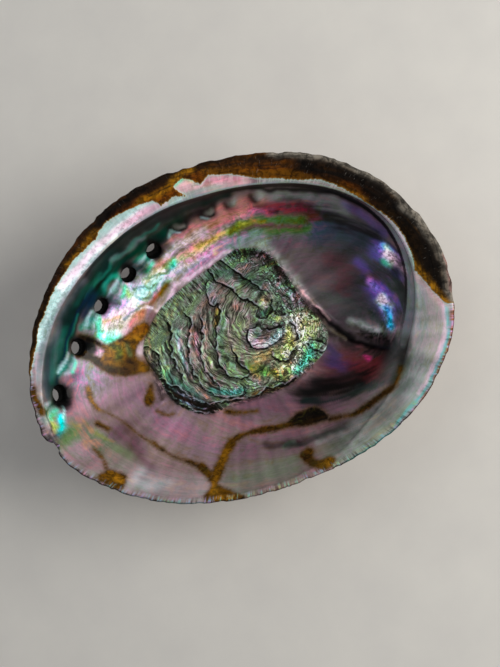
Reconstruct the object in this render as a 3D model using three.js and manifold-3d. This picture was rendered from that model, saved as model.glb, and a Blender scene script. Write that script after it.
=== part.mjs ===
// An abalone shell, one grown piece, lying on its back with the pearly bowl facing up.
// Millimetres, +Z up. +X runs along the shell to the spire, +Y runs across it to the columella, the flat shelf
// of the inner lip. The origin is under the middle of the shell, on the surface that it rests on.
//
// The shell is a sphere pressed in from above: its upper half becomes the bowl, its equator the rim and its
// lower half the back. Every section from the middle of the bowl to the lip is an arc of an ellipse.

import * as THREE from "three";
import { mergeVertices } from "three/addons/utils/BufferGeometryUtils.js";
import Module from "manifold-3d";

const wasm = await Module();
wasm.setup();

// Rim, as seen along the bowl's axis: bearing from the middle in degrees, counted from +X towards +Y, and radius.
const RIM_RADIUS = [
  [0, 84.0], [20, 79.5], [40, 73.5], [60, 67.8], [80, 65.1], [100, 66.0], [120, 68.7], [140, 72.3],
  [160, 78.0], [175, 82.0], [185, 83.4], [195, 81.6], [207, 76.2], [220, 71.3], [240, 65.1], [260, 62.2],
  [280, 63.0], [300, 68.4], [320, 76.0], [340, 82.6],
];

// Width of the columella shelf inside the rim. Along the outer lip, at the bearings 200 to 290, there is none.
const SHELF_WIDTH = [
  [0, 12.0], [15, 9.8], [30, 10.2], [45, 11.3], [75, 11.1], [110, 11.0], [126, 10.2], [140, 8.4], [153, 6.8],
  [165, 5.4], [178, 3.8], [190, 2.2], [205, 1.4], [250, 1.2], [275, 1.6], [290, 4.0], [305, 9.0], [320, 13.0],
  [335, 15.8], [348, 14.2],
];

// How far the section's arc turns on its way up: past 90 degrees, the wall leans out under the shelf.
const WALL_TURN_DEG = [
  [0, 100], [30, 92], [60, 86], [100, 84], [140, 86], [165, 84], [185, 74], [205, 62], [230, 56], [265, 54],
  [290, 58], [310, 74], [330, 96], [345, 102],
];
const BACK_TURN_DEG = [
  [0, 88], [30, 80], [90, 72], [140, 74], [180, 80], [210, 64], [265, 58], [300, 66], [330, 88], [345, 92],
];

// How far the rim rises above a level plane.
const RIM_HEIGHT = [[0, 0.0], [45, 1.4], [90, 2.4], [135, 1.2], [180, -0.8], [215, 0.4], [265, 1.8], [310, 0.6]];

const BOWL_DEPTH = 37; // level plane of the rim to the bowl's floor
const WALL_THICKNESS = 3.6; // at the floor
const LIP_THICKNESS = 1.8; // at the rim
const SHELF_DROP = 0.3; // fall of the shelf towards the bowl, for each millimetre of its width
const FLOOR_FLATNESS = 1.12; // over 1, the floor is flatter and the wall steeper than an ellipse

// The spire: a hollow at the +X end, with a sharp fold along one side that runs from the bowl's middle to the pit.
const SPIRE_FOLD = [
  [26, 18], [30, 9], [34, -5], [37, -12], [42, -19], [48, -24], [54, -28.5], [60, -31],
];
const HOLLOW_DEPTH = 10.5;
const HOLLOW_REACH = 30; // how far from the fold the hollow fades out
const FOLD_WIDTH = 3.5;
const FOLD_RUN_IN = 0.8; // share of the fold's length over which the hollow gets its full depth
const EDGE_HOLD = 6; // power by which the hollow and the swellings keep away from the rim
const SPIRE_APEX = [53, -21];
const SPIRE_RISE = 7.2; // how far the spire stands out of the back
const SPIRE_SPREAD = 21;

// The back's crown, its highest part, which lies between the middle and the spire.
const CROWN = [25, 8];
const CROWN_RISE = 2.2;
const CROWN_SPREAD = 32;

// The row of open holes, oldest first, each in its low turret: plan position.
const HOLES = [[-19.5, 44.0], [-33.0, 38.0], [-47.0, 30.0], [-62.0, 18.5], [-74.0, 4.0]];
const HOLE_RADIUS = 2.3;
const FUNNEL_RADIUS = 3.8; // of the hollow that leads from the bowl to the hole
const FUNNEL_LENGTH = 4.0;
const FUNNEL_START = -1.5; // before the bowl's surface
const TURRET_FOOT_RADIUS = 6.5;
const TURRET_START = 1; // inside the wall
const TURRET_LIP = 0.9; // wall round the hole at the turret's top
const TURRET_RISE = 1.8;
const HOLE_LEAN_DEG = 46; // the holes point down and outwards
const HOLE_SIDES = 16;

// Depth of the flat that is worn on the crown, where the shell rests.
const WORN_DEPTH = 0.5;

const SEGMENTS = 90; // round the rim
const BOWL_RINGS = 22;
const SHELF_RINGS = 4;
const BACK_RINGS = 17;
const RINGS = BOWL_RINGS + SHELF_RINGS + BACK_RINGS;

const NACRE_COLOUR = 0x9c8f96;
const NACRE_ROUGHNESS = 0.3;
const NACRE_METALNESS = 0.2;

const MERGE_DISTANCE = 1e-4;
const HALVINGS = 40; // when the section's point over a plan position is searched

const radians = THREE.MathUtils.degToRad;
const FULL_TURN = 360;

// A smooth curve round the rim through stops of [bearing in degrees, value].
function roundTheRim(stops) {
  const wrapped = [-1, 0, 1].flatMap((turn) => stops.map(([at, value]) => [at + turn * FULL_TURN, value]));
  const bearings = wrapped.map((stop) => stop[0]);
  const values = wrapped.map((stop) => stop[1]);
  const curve = new THREE.CubicInterpolant(bearings, values, 1);
  return (bearing) => curve.evaluate(bearing)[0];
}

const rimRadius = roundTheRim(RIM_RADIUS);
const shelfWidth = roundTheRim(SHELF_WIDTH);
const wallTurn = roundTheRim(WALL_TURN_DEG);
const backTurn = roundTheRim(BACK_TURN_DEG);
const rimHeight = roundTheRim(RIM_HEIGHT);

// The share of the way along a section's arc: how far out it has come and how far up.
function sectionArc(share, turnDeg) {
  const turn = radians(turnDeg);
  const out = Math.sin(share * turn) / Math.sin(turn);
  const up = (1 - Math.cos(share * turn)) / (1 - Math.cos(turn));
  return { out, up: up ** FLOOR_FLATNESS };
}

// Distance from the spire's fold, over 0 on the hollow's side, and the share of the fold's length passed.
function fromFold(x, y) {
  const point = new THREE.Vector2(x, y);
  let nearest = { distance: Infinity, along: 0 };
  for (let i = 0; i + 1 < SPIRE_FOLD.length; i++) {
    const start = new THREE.Vector2(...SPIRE_FOLD[i]);
    const step = new THREE.Vector2(...SPIRE_FOLD[i + 1]).sub(start);
    const offset = point.clone().sub(start);
    const share = THREE.MathUtils.clamp(offset.dot(step) / step.lengthSq(), 0, 1);
    const distance = offset.distanceTo(step.clone().multiplyScalar(share));
    if (distance < Math.abs(nearest.distance)) {
      const side = step.cross(offset) >= 0 ? 1 : -1;
      nearest = { distance: side * distance, along: (i + share) / (SPIRE_FOLD.length - 1) };
    }
  }
  return nearest;
}

// How far the spire's hollow is sunk below the plain bowl.
function hollowDepth(x, y) {
  const { distance, along } = fromFold(x, y);
  const step = THREE.MathUtils.smoothstep(distance, -FOLD_WIDTH / 2, FOLD_WIDTH);
  const reach = Math.exp(-((Math.max(distance, 0) / HOLLOW_REACH) ** 2));
  return HOLLOW_DEPTH * THREE.MathUtils.smoothstep(along, 0, FOLD_RUN_IN) * step * reach;
}

// A rounded swelling of the back at a plan position.
function swelling(x, y, [middleX, middleY], rise, spread) {
  const distance = Math.hypot(x - middleX, y - middleY);
  return rise * Math.exp(-((distance / spread) ** 2));
}

// How far the spire and the crown stand out of the plain back.
function backRise(x, y) {
  const spire = swelling(x, y, SPIRE_APEX, SPIRE_RISE, SPIRE_SPREAD);
  return spire + swelling(x, y, CROWN, CROWN_RISE, CROWN_SPREAD);
}

function planPoint(radius, bearing, z) {
  return new THREE.Vector3(radius * Math.cos(radians(bearing)), radius * Math.sin(radians(bearing)), z);
}

// Bowl: from its middle, at share 0, to the shelf's inner edge, at share 1.
function bowlPoint(bearing, share) {
  const edge = rimRadius(bearing) - shelfWidth(bearing);
  const edgeZ = rimHeight(bearing) - SHELF_DROP * shelfWidth(bearing);
  const { out, up } = sectionArc(share, wallTurn(bearing));
  const point = planPoint(edge * out, bearing, THREE.MathUtils.lerp(-BOWL_DEPTH, edgeZ, up));
  point.z -= hollowDepth(point.x, point.y) * (1 - share ** EDGE_HOLD);
  return point;
}

// Shelf: from its inner edge, at share 0, to the rim, at share 1.
function shelfPoint(bearing, share) {
  const width = shelfWidth(bearing);
  const z = rimHeight(bearing) - SHELF_DROP * width * (1 - share) ** 2;
  return planPoint(rimRadius(bearing) - width * (1 - share), bearing, z);
}

// Back: from the rim, at share 0, to its middle, at share 1.
function backPoint(bearing, share) {
  const { out, up } = sectionArc(1 - share, backTurn(bearing));
  const backZ = -BOWL_DEPTH - WALL_THICKNESS;
  const lipZ = rimHeight(bearing) - LIP_THICKNESS;
  const point = planPoint(rimRadius(bearing) * out, bearing, THREE.MathUtils.lerp(backZ, lipZ, up));
  point.z -= backRise(point.x, point.y) * (1 - (1 - share) ** EDGE_HOLD);
  return point;
}

function surfacePoint(bearing, ring) {
  if (ring <= BOWL_RINGS) return bowlPoint(bearing, ring / BOWL_RINGS);
  const shelfRing = ring - BOWL_RINGS;
  if (shelfRing < SHELF_RINGS) return shelfPoint(bearing, shelfRing / (SHELF_RINGS - 1));
  return backPoint(bearing, (shelfRing - SHELF_RINGS) / BACK_RINGS);
}

// The whole shell without its holes, in the bowl's own frame: the rim's plane is Z 0.
function plainShell() {
  const sphere = new THREE.SphereGeometry(1, SEGMENTS, RINGS);
  const place = sphere.getAttribute("position");
  const uv = sphere.getAttribute("uv");
  for (let i = 0; i < place.count; i++) {
    const ring = Math.round((1 - uv.getY(i)) * RINGS);
    const segment = (i % (SEGMENTS + 1)) % SEGMENTS;
    const point = surfacePoint((segment / SEGMENTS) * FULL_TURN, ring);
    place.setXYZ(i, point.x, point.y, point.z);
  }
  return sphere;
}

// A closed mesh as a solid that can be joined and cut.
function solidOf(geometry) {
  const bare = geometry.clone();
  bare.deleteAttribute("normal");
  bare.deleteAttribute("uv");
  const merged = mergeVertices(bare, MERGE_DISTANCE);
  return new wasm.Manifold(
    new wasm.Mesh({
      numProp: 3,
      vertProperties: merged.getAttribute("position").array,
      triVerts: new Uint32Array(merged.index.array),
    }),
  );
}

function geometryOf(solid) {
  const { vertProperties, triVerts } = solid.getMesh();
  return new THREE.BufferGeometry()
    .setAttribute("position", new THREE.BufferAttribute(vertProperties, 3))
    .setIndex(new THREE.BufferAttribute(triVerts, 1));
}

// Height of the bowl at a plan position, from the section that passes through it.
function bowlHeight(x, y) {
  const bearing = THREE.MathUtils.radToDeg(Math.atan2(y, x));
  const radius = Math.hypot(x, y);
  let [low, high] = [0, 1];
  for (let i = 0; i < HALVINGS; i++) {
    const middle = (low + high) / 2;
    const point = bowlPoint(bearing, middle);
    if (Math.hypot(point.x, point.y) < radius) low = middle;
    else high = middle;
  }
  return bowlPoint(bearing, low).z;
}

// A cone whose axis runs through a hole, from a point in the bowl out through the back.
function alongHole([x, y], startRadius, endRadius, from, to) {
  const cone = new THREE.CylinderGeometry(endRadius, startRadius, to - from, HOLE_SIDES);
  const bearing = Math.atan2(y, x);
  const lean = radians(HOLE_LEAN_DEG);
  const outwards = new THREE.Vector3(
    Math.sin(lean) * Math.cos(bearing),
    Math.sin(lean) * Math.sin(bearing),
    -Math.cos(lean),
  );
  cone.applyQuaternion(new THREE.Quaternion().setFromUnitVectors(new THREE.Vector3(0, 1, 0), outwards));
  const middle = new THREE.Vector3(x, y, bowlHeight(x, y)).addScaledVector(outwards, (from + to) / 2);
  return solidOf(cone.translate(middle.x, middle.y, middle.z));
}

// Wears the flat that the shell rests on and puts that flat on Z 0, under the middle of the shell.
function layDown(geometry) {
  geometry.computeBoundingBox();
  const floor = geometry.boundingBox.min.z + WORN_DEPTH;
  const place = geometry.getAttribute("position");
  for (let i = 0; i < place.count; i++) place.setZ(i, Math.max(place.getZ(i), floor));
  geometry.computeBoundingBox();
  const middle = geometry.boundingBox.getCenter(new THREE.Vector3());
  return geometry.translate(-middle.x, -middle.y, -floor);
}

function makeShell() {
  let shell = solidOf(plainShell());
  const through = WALL_THICKNESS + TURRET_RISE;
  const funnelEnd = FUNNEL_START + FUNNEL_LENGTH;
  for (const hole of HOLES) {
    shell = shell.add(alongHole(hole, TURRET_FOOT_RADIUS, HOLE_RADIUS + TURRET_LIP, TURRET_START, through));
  }
  for (const hole of HOLES) {
    shell = shell.subtract(alongHole(hole, FUNNEL_RADIUS, HOLE_RADIUS, FUNNEL_START, funnelEnd));
    shell = shell.subtract(alongHole(hole, HOLE_RADIUS, HOLE_RADIUS, FUNNEL_START, 2 * through));
  }
  const nacre = new THREE.MeshStandardMaterial({
    color: NACRE_COLOUR,
    roughness: NACRE_ROUGHNESS,
    metalness: NACRE_METALNESS,
  });
  const mesh = new THREE.Mesh(layDown(geometryOf(shell)), nacre);
  mesh.name = "shell";
  return mesh;
}

const abalone = new THREE.Group();
abalone.add(makeShell());

export default abalone;
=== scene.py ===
# An abalone shell on its back: pearly inside, rough outside, in a plain studio seen from straight above.
import itertools
import math

import bpy
import numpy as np
from mathutils import Matrix, Vector


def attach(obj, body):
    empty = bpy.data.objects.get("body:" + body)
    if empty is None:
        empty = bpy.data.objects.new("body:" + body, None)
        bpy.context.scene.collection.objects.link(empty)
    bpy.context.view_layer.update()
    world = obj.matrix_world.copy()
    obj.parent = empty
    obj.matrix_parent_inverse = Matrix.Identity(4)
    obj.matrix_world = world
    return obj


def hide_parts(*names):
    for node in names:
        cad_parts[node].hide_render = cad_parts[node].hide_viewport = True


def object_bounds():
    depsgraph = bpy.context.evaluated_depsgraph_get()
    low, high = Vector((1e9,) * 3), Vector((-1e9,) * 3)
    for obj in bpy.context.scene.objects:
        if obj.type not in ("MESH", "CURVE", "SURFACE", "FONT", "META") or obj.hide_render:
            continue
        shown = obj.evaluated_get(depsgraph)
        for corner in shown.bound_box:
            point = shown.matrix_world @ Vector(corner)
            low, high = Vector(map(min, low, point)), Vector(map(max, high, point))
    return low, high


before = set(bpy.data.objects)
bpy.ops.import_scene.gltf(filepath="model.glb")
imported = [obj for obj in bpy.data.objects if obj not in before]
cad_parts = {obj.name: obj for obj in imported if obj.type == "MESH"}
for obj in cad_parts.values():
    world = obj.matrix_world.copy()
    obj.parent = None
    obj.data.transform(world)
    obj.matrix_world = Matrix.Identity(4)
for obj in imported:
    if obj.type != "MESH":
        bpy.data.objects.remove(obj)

cad_low, cad_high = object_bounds()
MM = 0.001

# Form of the shell in millimetres, close to the construction: bearings in degrees from +X towards +Y.
RIM_RADIUS = [
    (0, 84.0), (20, 80.5), (40, 74.9), (60, 68.5), (80, 65.1), (100, 66.0), (120, 68.7), (140, 72.3),
    (160, 78.0), (175, 82.0), (185, 83.4), (195, 82.2), (207, 77.4), (220, 72.4), (240, 65.6),
    (260, 62.2), (280, 63.0), (300, 68.4), (320, 76.0), (340, 82.6),
]
SHELF_WIDTH = [
    (0, 12.0), (15, 9.8), (30, 10.2), (45, 11.3), (75, 11.1), (110, 11.0), (126, 10.2), (140, 8.4),
    (153, 6.8), (165, 5.4), (178, 3.8), (190, 2.2), (205, 1.4), (250, 1.2), (275, 1.6), (290, 4.0),
    (305, 9.0), (320, 13.0), (335, 15.8), (348, 14.2),
]
WALL_TURN_DEG = [
    (0, 100), (30, 92), (60, 86), (100, 84), (140, 86), (165, 84), (185, 74), (205, 62), (230, 56),
    (265, 54), (290, 54), (310, 58), (332, 94), (345, 102),
]
BACK_TURN_DEG = [
    (0, 88), (30, 80), (90, 72), (140, 74), (180, 80), (210, 64), (265, 58), (300, 66), (330, 88),
    (345, 92),
]
RIM_HEIGHT = [(0, 0.0), (45, 1.4), (90, 2.4), (135, 1.2), (180, -0.8), (215, 0.4), (265, 1.8), (310, 0.6)]
BOWL_DEPTH = 37.0
WALL_THICKNESS = 3.6
LIP_THICKNESS = 1.8
SHELF_DROP = 0.3
FLOOR_FLATNESS = 1.12
SPIRE_FOLD = [(26, 18), (30, 9), (34, -5), (37, -12), (42, -19), (48, -24), (54, -28.5), (60, -31)]
HOLLOW_DEPTH = 10.5
HOLLOW_REACH = 30.0
FOLD_WIDTH = 3.5
FOLD_RUN_IN = 0.8
EVEN_FROM_FOLD = (1.5, 8.0)  # the hollow is evened out past the first, and fully past the second
EVEN_REACHES = (3.0, 6.0, 9.0)
EVEN_TURNS_DEG = range(0, 360, 45)
EDGE_HOLD = 6  # the higher, the closer to the edge the hollow and the spire reach
SOFT_EDGE = 9.0  # how far the shelf passes into the bowl at the lower right, where its edge is rounded
SOFT_EDGE_DROP = 3.0
SOFT_EDGE_BEARING = 310
SOFT_DROP_SPAN = 22  # degrees to either side over which the drop fades, then the rounding and the paint
SOFT_ROUND_SPAN = 26
SOFT_PAINT_SPAN = 24
SOFT_EDGE_RINGS = (6, 18)  # rings from the edge where the rounding starts to fade, and where it ends
SOFT_EDGE_SHIFTS = range(-14, 15, 2)  # neighbouring rings that are evened out
SOFT_EDGE_LEAST = 0.01
SPIRE_APEX = (53, -21)
SPIRE_RISE = 7.2
SPIRE_SPREAD = 21.0
CROWN = (25, 8)
CROWN_RISE = 2.2
CROWN_SPREAD = 32.0

# Rows of the sheet that is rolled into the shell, from the middle of the bowl to the middle of the back.
SEGMENTS = 400
BOWL_RINGS = 152
SHELF_RINGS = 18
LIP_RINGS = 4
BACK_RINGS = 64
RINGS = BOWL_RINGS + SHELF_RINGS + LIP_RINGS + BACK_RINGS
MIDDLE_CROWDING = 0.62  # spacing of the bowl's middle rings against even ones

# The photograph's frame, in which the marks on the shell are placed, and the camera that sees it so.
FRAME_WIDTH = 500
FRAME_HEIGHT = 667
PIXEL = 0.3778  # millimetres at the rim
AIM = (4.12, -4.13)  # plan position at the frame's middle
CAMERA_HEIGHT = 400.0  # above the rim
TURN_DEG = 21.8  # the shell's long axis rises this far to the right
SENSOR = 36.0


def smoothstep(value, low, high):
    """0 below low, 1 above high, with a smooth rise between."""
    share = np.clip((value - low) / (high - low), 0, 1)
    return share * share * (3 - 2 * share)


def bell(distance, width):
    """1 at no distance, falling away smoothly over about width."""
    return np.exp(-((distance / width) ** 2))


def lattice_noise(points, size, seed):
    """Smooth noise from -1 to 1, with bumps about size across."""
    place = points / size
    cell = np.floor(place).astype(np.int64)
    part = place - cell
    part = part * part * (3 - 2 * part)
    total = np.zeros(len(points))
    primes = np.array([73856093, 19349663, 83492791])[: points.shape[1]]
    for corner in itertools.product((0, 1), repeat=points.shape[1]):
        mixed = ((cell + corner) * primes).sum(1) + seed * 2654435761
        mixed = (mixed ^ (mixed >> 13)) * 1274126177 & 0xFFFFFFFF
        mixed = (mixed ^ (mixed >> 15)) & 0xFFFF
        total += np.where(corner, part, 1 - part).prod(1) * (mixed / 32767.5 - 1)
    return total


def rough_noise(points, size, seed, octaves=3):
    """Noise with finer and finer bumps added."""
    return sum(lattice_noise(points, size / 2**i, seed + i) / 2**i for i in range(octaves))


def round_the_rim(stops):
    """A smooth closed curve through stops of (bearing, value)."""
    at, value = np.array(stops, float).T
    gap = np.diff(at, append=at[0] + 360)
    slope = (np.roll(value, -1) - value) / gap
    tangent = (slope + np.roll(slope, 1)) / 2

    def curve(bearing):
        start = np.searchsorted(at, bearing, side="right") - 1
        end = (start + 1) % len(at)
        t = ((bearing - at[start]) % 360) / gap[start]
        rise = value[end] - value[start]
        run_in = tangent[start] * gap[start]
        run_out = tangent[end] * gap[start]
        bend = 3 * rise - 2 * run_in - run_out
        twist = run_in + run_out - 2 * rise
        return value[start] + t * (run_in + t * (bend + t * twist))

    return curve


rim_radius = round_the_rim(RIM_RADIUS)
shelf_width = round_the_rim(SHELF_WIDTH)
wall_turn = round_the_rim(WALL_TURN_DEG)
back_turn = round_the_rim(BACK_TURN_DEG)
rim_height = round_the_rim(RIM_HEIGHT)


def spokes(bearing):
    """Directions in the plan at bearings in degrees."""
    arc = np.radians(bearing)
    return np.stack([np.cos(arc), np.sin(arc)], 1)


def section_arc(share, turn_deg):
    """How far out and how far up a section's arc has come."""
    turn = np.radians(turn_deg)
    out = np.sin(share * turn) / np.sin(turn)
    up = (1 - np.cos(share * turn)) / (1 - np.cos(turn))
    return out, up**FLOOR_FLATNESS


def from_line(x, y, points):
    """Distance from a line through points, the share of it passed, and 1 on its left or -1 on its right."""
    nearest = np.full(len(x), np.inf)
    along = np.zeros(len(x))
    side = np.ones(len(x))
    for i, (start, end) in enumerate(zip(points, points[1:])):
        step_x, step_y = end[0] - start[0], end[1] - start[1]
        off_x, off_y = x - start[0], y - start[1]
        share = np.clip((off_x * step_x + off_y * step_y) / (step_x**2 + step_y**2), 0, 1)
        distance = np.hypot(off_x - share * step_x, off_y - share * step_y)
        closer = distance < nearest
        nearest = np.where(closer, distance, nearest)
        along = np.where(closer, (i + share) / (len(points) - 1), along)
        side = np.where(closer, np.where(step_x * off_y - step_y * off_x >= 0, 1, -1), side)
    return nearest, along, side


def from_patch(x, y, outline):
    """Distance from a closed outline, under 0 inside it."""
    distance = from_line(x, y, [*outline, outline[0]])[0]
    inside = np.zeros(len(x), bool)
    for (ax, ay), (bx, by) in zip(outline, [*outline[1:], outline[0]]):
        if ay != by:
            crosses = (ay > y) != (by > y)
            inside ^= crosses & (x < (bx - ax) * (y - ay) / (by - ay) + ax)
    return np.where(inside, -distance, distance)


def hollow_depth(x, y):
    """How far the spire's hollow is sunk below the plain bowl."""
    distance, along, side = from_line(x, y, SPIRE_FOLD)
    distance = distance * side
    step = smoothstep(distance, -FOLD_WIDTH / 2, FOLD_WIDTH)
    fade = bell(np.maximum(distance, 0), HOLLOW_REACH)
    return HOLLOW_DEPTH * smoothstep(along, 0, FOLD_RUN_IN) * step * fade


def soft_hollow(x, y):
    """The hollow's depth, evened out away from the fold so that no crease shows."""
    distance, _, side = from_line(x, y, SPIRE_FOLD)
    away = smoothstep(distance * side, *EVEN_FROM_FOLD)
    shifts = [reach * spoke for reach in EVEN_REACHES for spoke in spokes(np.array(EVEN_TURNS_DEG))]
    even = sum(hollow_depth(x + dx, y + dy) for dx, dy in shifts) / len(shifts)
    return hollow_depth(x, y) * (1 - away) + even * away


def back_rise(x, y):
    """How far the spire and the crown stand out of the plain back."""
    spire = SPIRE_RISE * bell(np.hypot(x - SPIRE_APEX[0], y - SPIRE_APEX[1]), SPIRE_SPREAD)
    return spire + CROWN_RISE * bell(np.hypot(x - CROWN[0], y - CROWN[1]), CROWN_SPREAD)


class Skin:
    """Every point of the rolled sheet: where it is, in millimetres, and on which part of the shell."""

    def __init__(self, ring, bearing):
        self.ring = ring
        self.bearing = bearing
        self.rim = rim_radius(self.bearing)
        self.shelf = shelf_width(self.bearing)
        self.height = rim_height(self.bearing)
        lip_ring = BOWL_RINGS + SHELF_RINGS
        self.on_bowl = self.ring <= BOWL_RINGS
        self.on_shelf = (self.ring > BOWL_RINGS) & (self.ring <= lip_ring)
        self.on_back = self.ring >= lip_ring + LIP_RINGS
        self.on_lip = ~(self.on_bowl | self.on_shelf | self.on_back)
        even = np.clip(self.ring / BOWL_RINGS, 0, 1)
        self.bowl_share = even * (MIDDLE_CROWDING + (1 - MIDDLE_CROWDING) * even)
        self.shelf_share = np.clip((self.ring - BOWL_RINGS) / SHELF_RINGS, 0, 1)
        self.lip_share = np.clip((self.ring - lip_ring) / LIP_RINGS, 0, 1)
        self.back_share = np.clip((self.ring - lip_ring - LIP_RINGS) / BACK_RINGS, 0, 1)
        self.place()

    def place(self):
        """Rolls the sheet into the plain shell and lays it down where the construction lies."""
        edge = self.rim - LIP_THICKNESS / 2
        kinds = [self.on_bowl, self.on_shelf, self.on_lip, self.on_back]
        ways = [self.bowl(edge), self.shelf_top(edge), self.lip(edge), self.back(edge)]
        radius = np.select(kinds, [way[0] for way in ways])
        z = np.select(kinds, [way[1] for way in ways])
        x = radius * np.cos(np.radians(self.bearing))
        y = radius * np.sin(np.radians(self.bearing))
        sunk = soft_hollow(x, y) * (1 - self.bowl_share**EDGE_HOLD)
        risen = back_rise(x, y) * (1 - (1 - self.back_share) ** EDGE_HOLD)
        z = z - np.where(self.on_bowl, sunk, 0) - np.where(self.on_back, risen, 0)
        past_edge = radius - (edge - self.shelf)
        softened = SOFT_EDGE_DROP * bell(past_edge, SOFT_EDGE)
        softened = softened * bell(self.bearing - SOFT_EDGE_BEARING, SOFT_DROP_SPAN)
        z = z - np.where(self.on_bowl | self.on_shelf, softened, 0)
        self.plan = np.stack([x, y], 1)
        middle = (self.plan.max(0) + self.plan.min(0)) / 2
        self.rim_z = cad_high.z / MM - self.height.max()
        self.points = np.stack([x - middle[0], y - middle[1], z + self.rim_z], 1)

    def bowl(self, edge):
        out, up = section_arc(self.bowl_share, wall_turn(self.bearing))
        top = self.height - SHELF_DROP * self.shelf
        return (edge - self.shelf) * out, -BOWL_DEPTH + (top + BOWL_DEPTH) * up

    def shelf_top(self, edge):
        left = 1 - self.shelf_share
        return edge - self.shelf * left, self.height - SHELF_DROP * self.shelf * left**2

    def lip(self, edge):
        half = LIP_THICKNESS / 2
        turn = np.pi * self.lip_share
        return edge + half * np.sin(turn), self.height - half * (1 - np.cos(turn))

    def back(self, edge):
        out, up = section_arc(1 - self.back_share, back_turn(self.bearing))
        low = -BOWL_DEPTH - WALL_THICKNESS
        return edge * out, low + (self.height - LIP_THICKNESS - low) * up

    def soften_edge(self):
        """Rounds the shelf's edge off at the lower right by evening out neighbouring rings."""
        near = 1 - smoothstep(np.abs(self.ring - BOWL_RINGS), *SOFT_EDGE_RINGS)
        near = near * bell(self.bearing - SOFT_EDGE_BEARING, SOFT_ROUND_SPAN)
        part = (near > SOFT_EDGE_LEAST) & (self.on_bowl | self.on_shelf)

        def placed(shift):
            ring = np.minimum(self.ring[part] + shift, BOWL_RINGS + SHELF_RINGS)
            moved = Skin(ring, self.bearing[part])
            return np.column_stack([moved.plan, moved.points[:, 2]])

        even = sum(placed(shift) for shift in SOFT_EDGE_SHIFTS) / len(SOFT_EDGE_SHIFTS)
        self.points[part] += (even - placed(0)) * near[part, None]

    def seen(self):
        """Where the camera sees each point, in pixels of the photograph's frame."""
        turn = math.radians(TURN_DEG)
        off_x, off_y = self.points[:, 0] - AIM[0], self.points[:, 1] - AIM[1]
        scale = CAMERA_HEIGHT / (CAMERA_HEIGHT + self.rim_z - self.points[:, 2]) / PIXEL
        right = off_x * math.cos(turn) - off_y * math.sin(turn)
        up = off_x * math.sin(turn) + off_y * math.cos(turn)
        return FRAME_WIDTH / 2 + right * scale, FRAME_HEIGHT / 2 - up * scale


# Marks on the shell, in pixels of the photograph's frame.
SCAR_OUTLINE = [
    (235, 249), (256, 247), (270, 254), (284, 270), (296, 291), (313, 312), (326, 325), (329, 338),
    (326, 351), (314, 364), (298, 378), (285, 388), (257, 397), (231, 403), (217, 414), (203, 415),
    (190, 411), (177, 405), (167, 394), (160, 379), (148, 365), (142, 350), (147, 331), (159, 309),
    (179, 290), (207, 269),
]
SCAR_FOCUS = (258, 318)
HATCH_BORDER = [(147, 331), (232, 250)]
SCAR_EDGES = [  # each drawn with its raised side on the left
    [(209, 270), (216, 281), (227, 287), (237, 294), (244, 299), (252, 302), (258, 308)],
    [(270, 298), (274, 305), (271, 313), (266, 318), (260, 318), (255, 313), (258, 308)],
    [(282, 304), (287, 309), (285, 315), (279, 317), (273, 312)],
    [(261, 331), (259, 325), (250, 327), (245, 335), (248, 344), (257, 349), (268, 348), (275, 343),
     (282, 338), (284, 330), (277, 326), (268, 330)],
    [(184, 314), (190, 320), (191, 327), (188, 340), (187, 353), (189, 363), (192, 373), (199, 383),
     (206, 392), (217, 397), (229, 398), (245, 396), (245, 390), (241, 385)],
    [(218, 306), (219, 321), (216, 335), (215, 349), (218, 360), (222, 368), (227, 376), (235, 380),
     (243, 380), (248, 376)],
    [(232, 348), (237, 359), (243, 366), (248, 373)],
    [(214, 283), (206, 281), (205, 289), (208, 302), (213, 309), (218, 304)],
    [(142, 350), (148, 346), (155, 350), (159, 366), (161, 377), (166, 385), (176, 388), (186, 396),
     (196, 401), (206, 404), (214, 405)],
    [(160, 380), (168, 395), (177, 405), (190, 411), (203, 415), (216, 415)],
    [(216, 405), (231, 402), (246, 401), (257, 396), (270, 389), (285, 388), (297, 378), (306, 373),
     (314, 364)],
    [(274, 355), (278, 360), (285, 361), (293, 358), (294, 352)],
    [(307, 344), (312, 350), (320, 354), (326, 350), (325, 343), (316, 339), (311, 341)],
    [(166, 322), (172, 333), (170, 348), (174, 366), (183, 380)],
    [(202, 318), (202, 338), (200, 356), (207, 374), (219, 388)],
    [(222, 262), (236, 272), (250, 282), (262, 290)],
    [(290, 322), (298, 330), (296, 342)],
]
SCAR_BEADS = [
    (144, 351), (154, 353), (155, 360), (156, 367), (157, 374), (158, 384), (160, 392), (161, 401),
    (209, 413), (214, 412),
]
OPEN_HOLES = [(150, 247), (124, 273), (99, 305), (74, 347), (56, 394)]
HOLE_SHADES = [9, 10, 10, 17, 14]  # how far the painted shade on the dark side of each reaches
CLOSED_HOLES = [(180, 227), (208, 213), (233, 203), (258, 197)]
NOTCH = [(57, 404), (49, 420), (42, 433), (36, 438)]
BAND_OUTLINE = [
    (20, 420), (30, 372), (38, 330), (48, 300), (56, 286), (66, 270), (78, 254), (96, 239), (98, 230),
    (107, 221), (118, 214), (136, 206), (152, 200), (161, 206), (174, 197), (186, 196), (173, 187),
    (180, 176), (193, 180), (201, 185), (208, 175), (224, 173), (240, 175), (255, 178), (299, 179),
    (322, 180), (343, 188), (362, 199), (387, 216), (404, 235), (414, 258), (414, 270), (430, 288),
    (448, 303), (480, 303), (470, 200), (380, 130), (240, 120), (100, 150), (20, 260),
]
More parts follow.
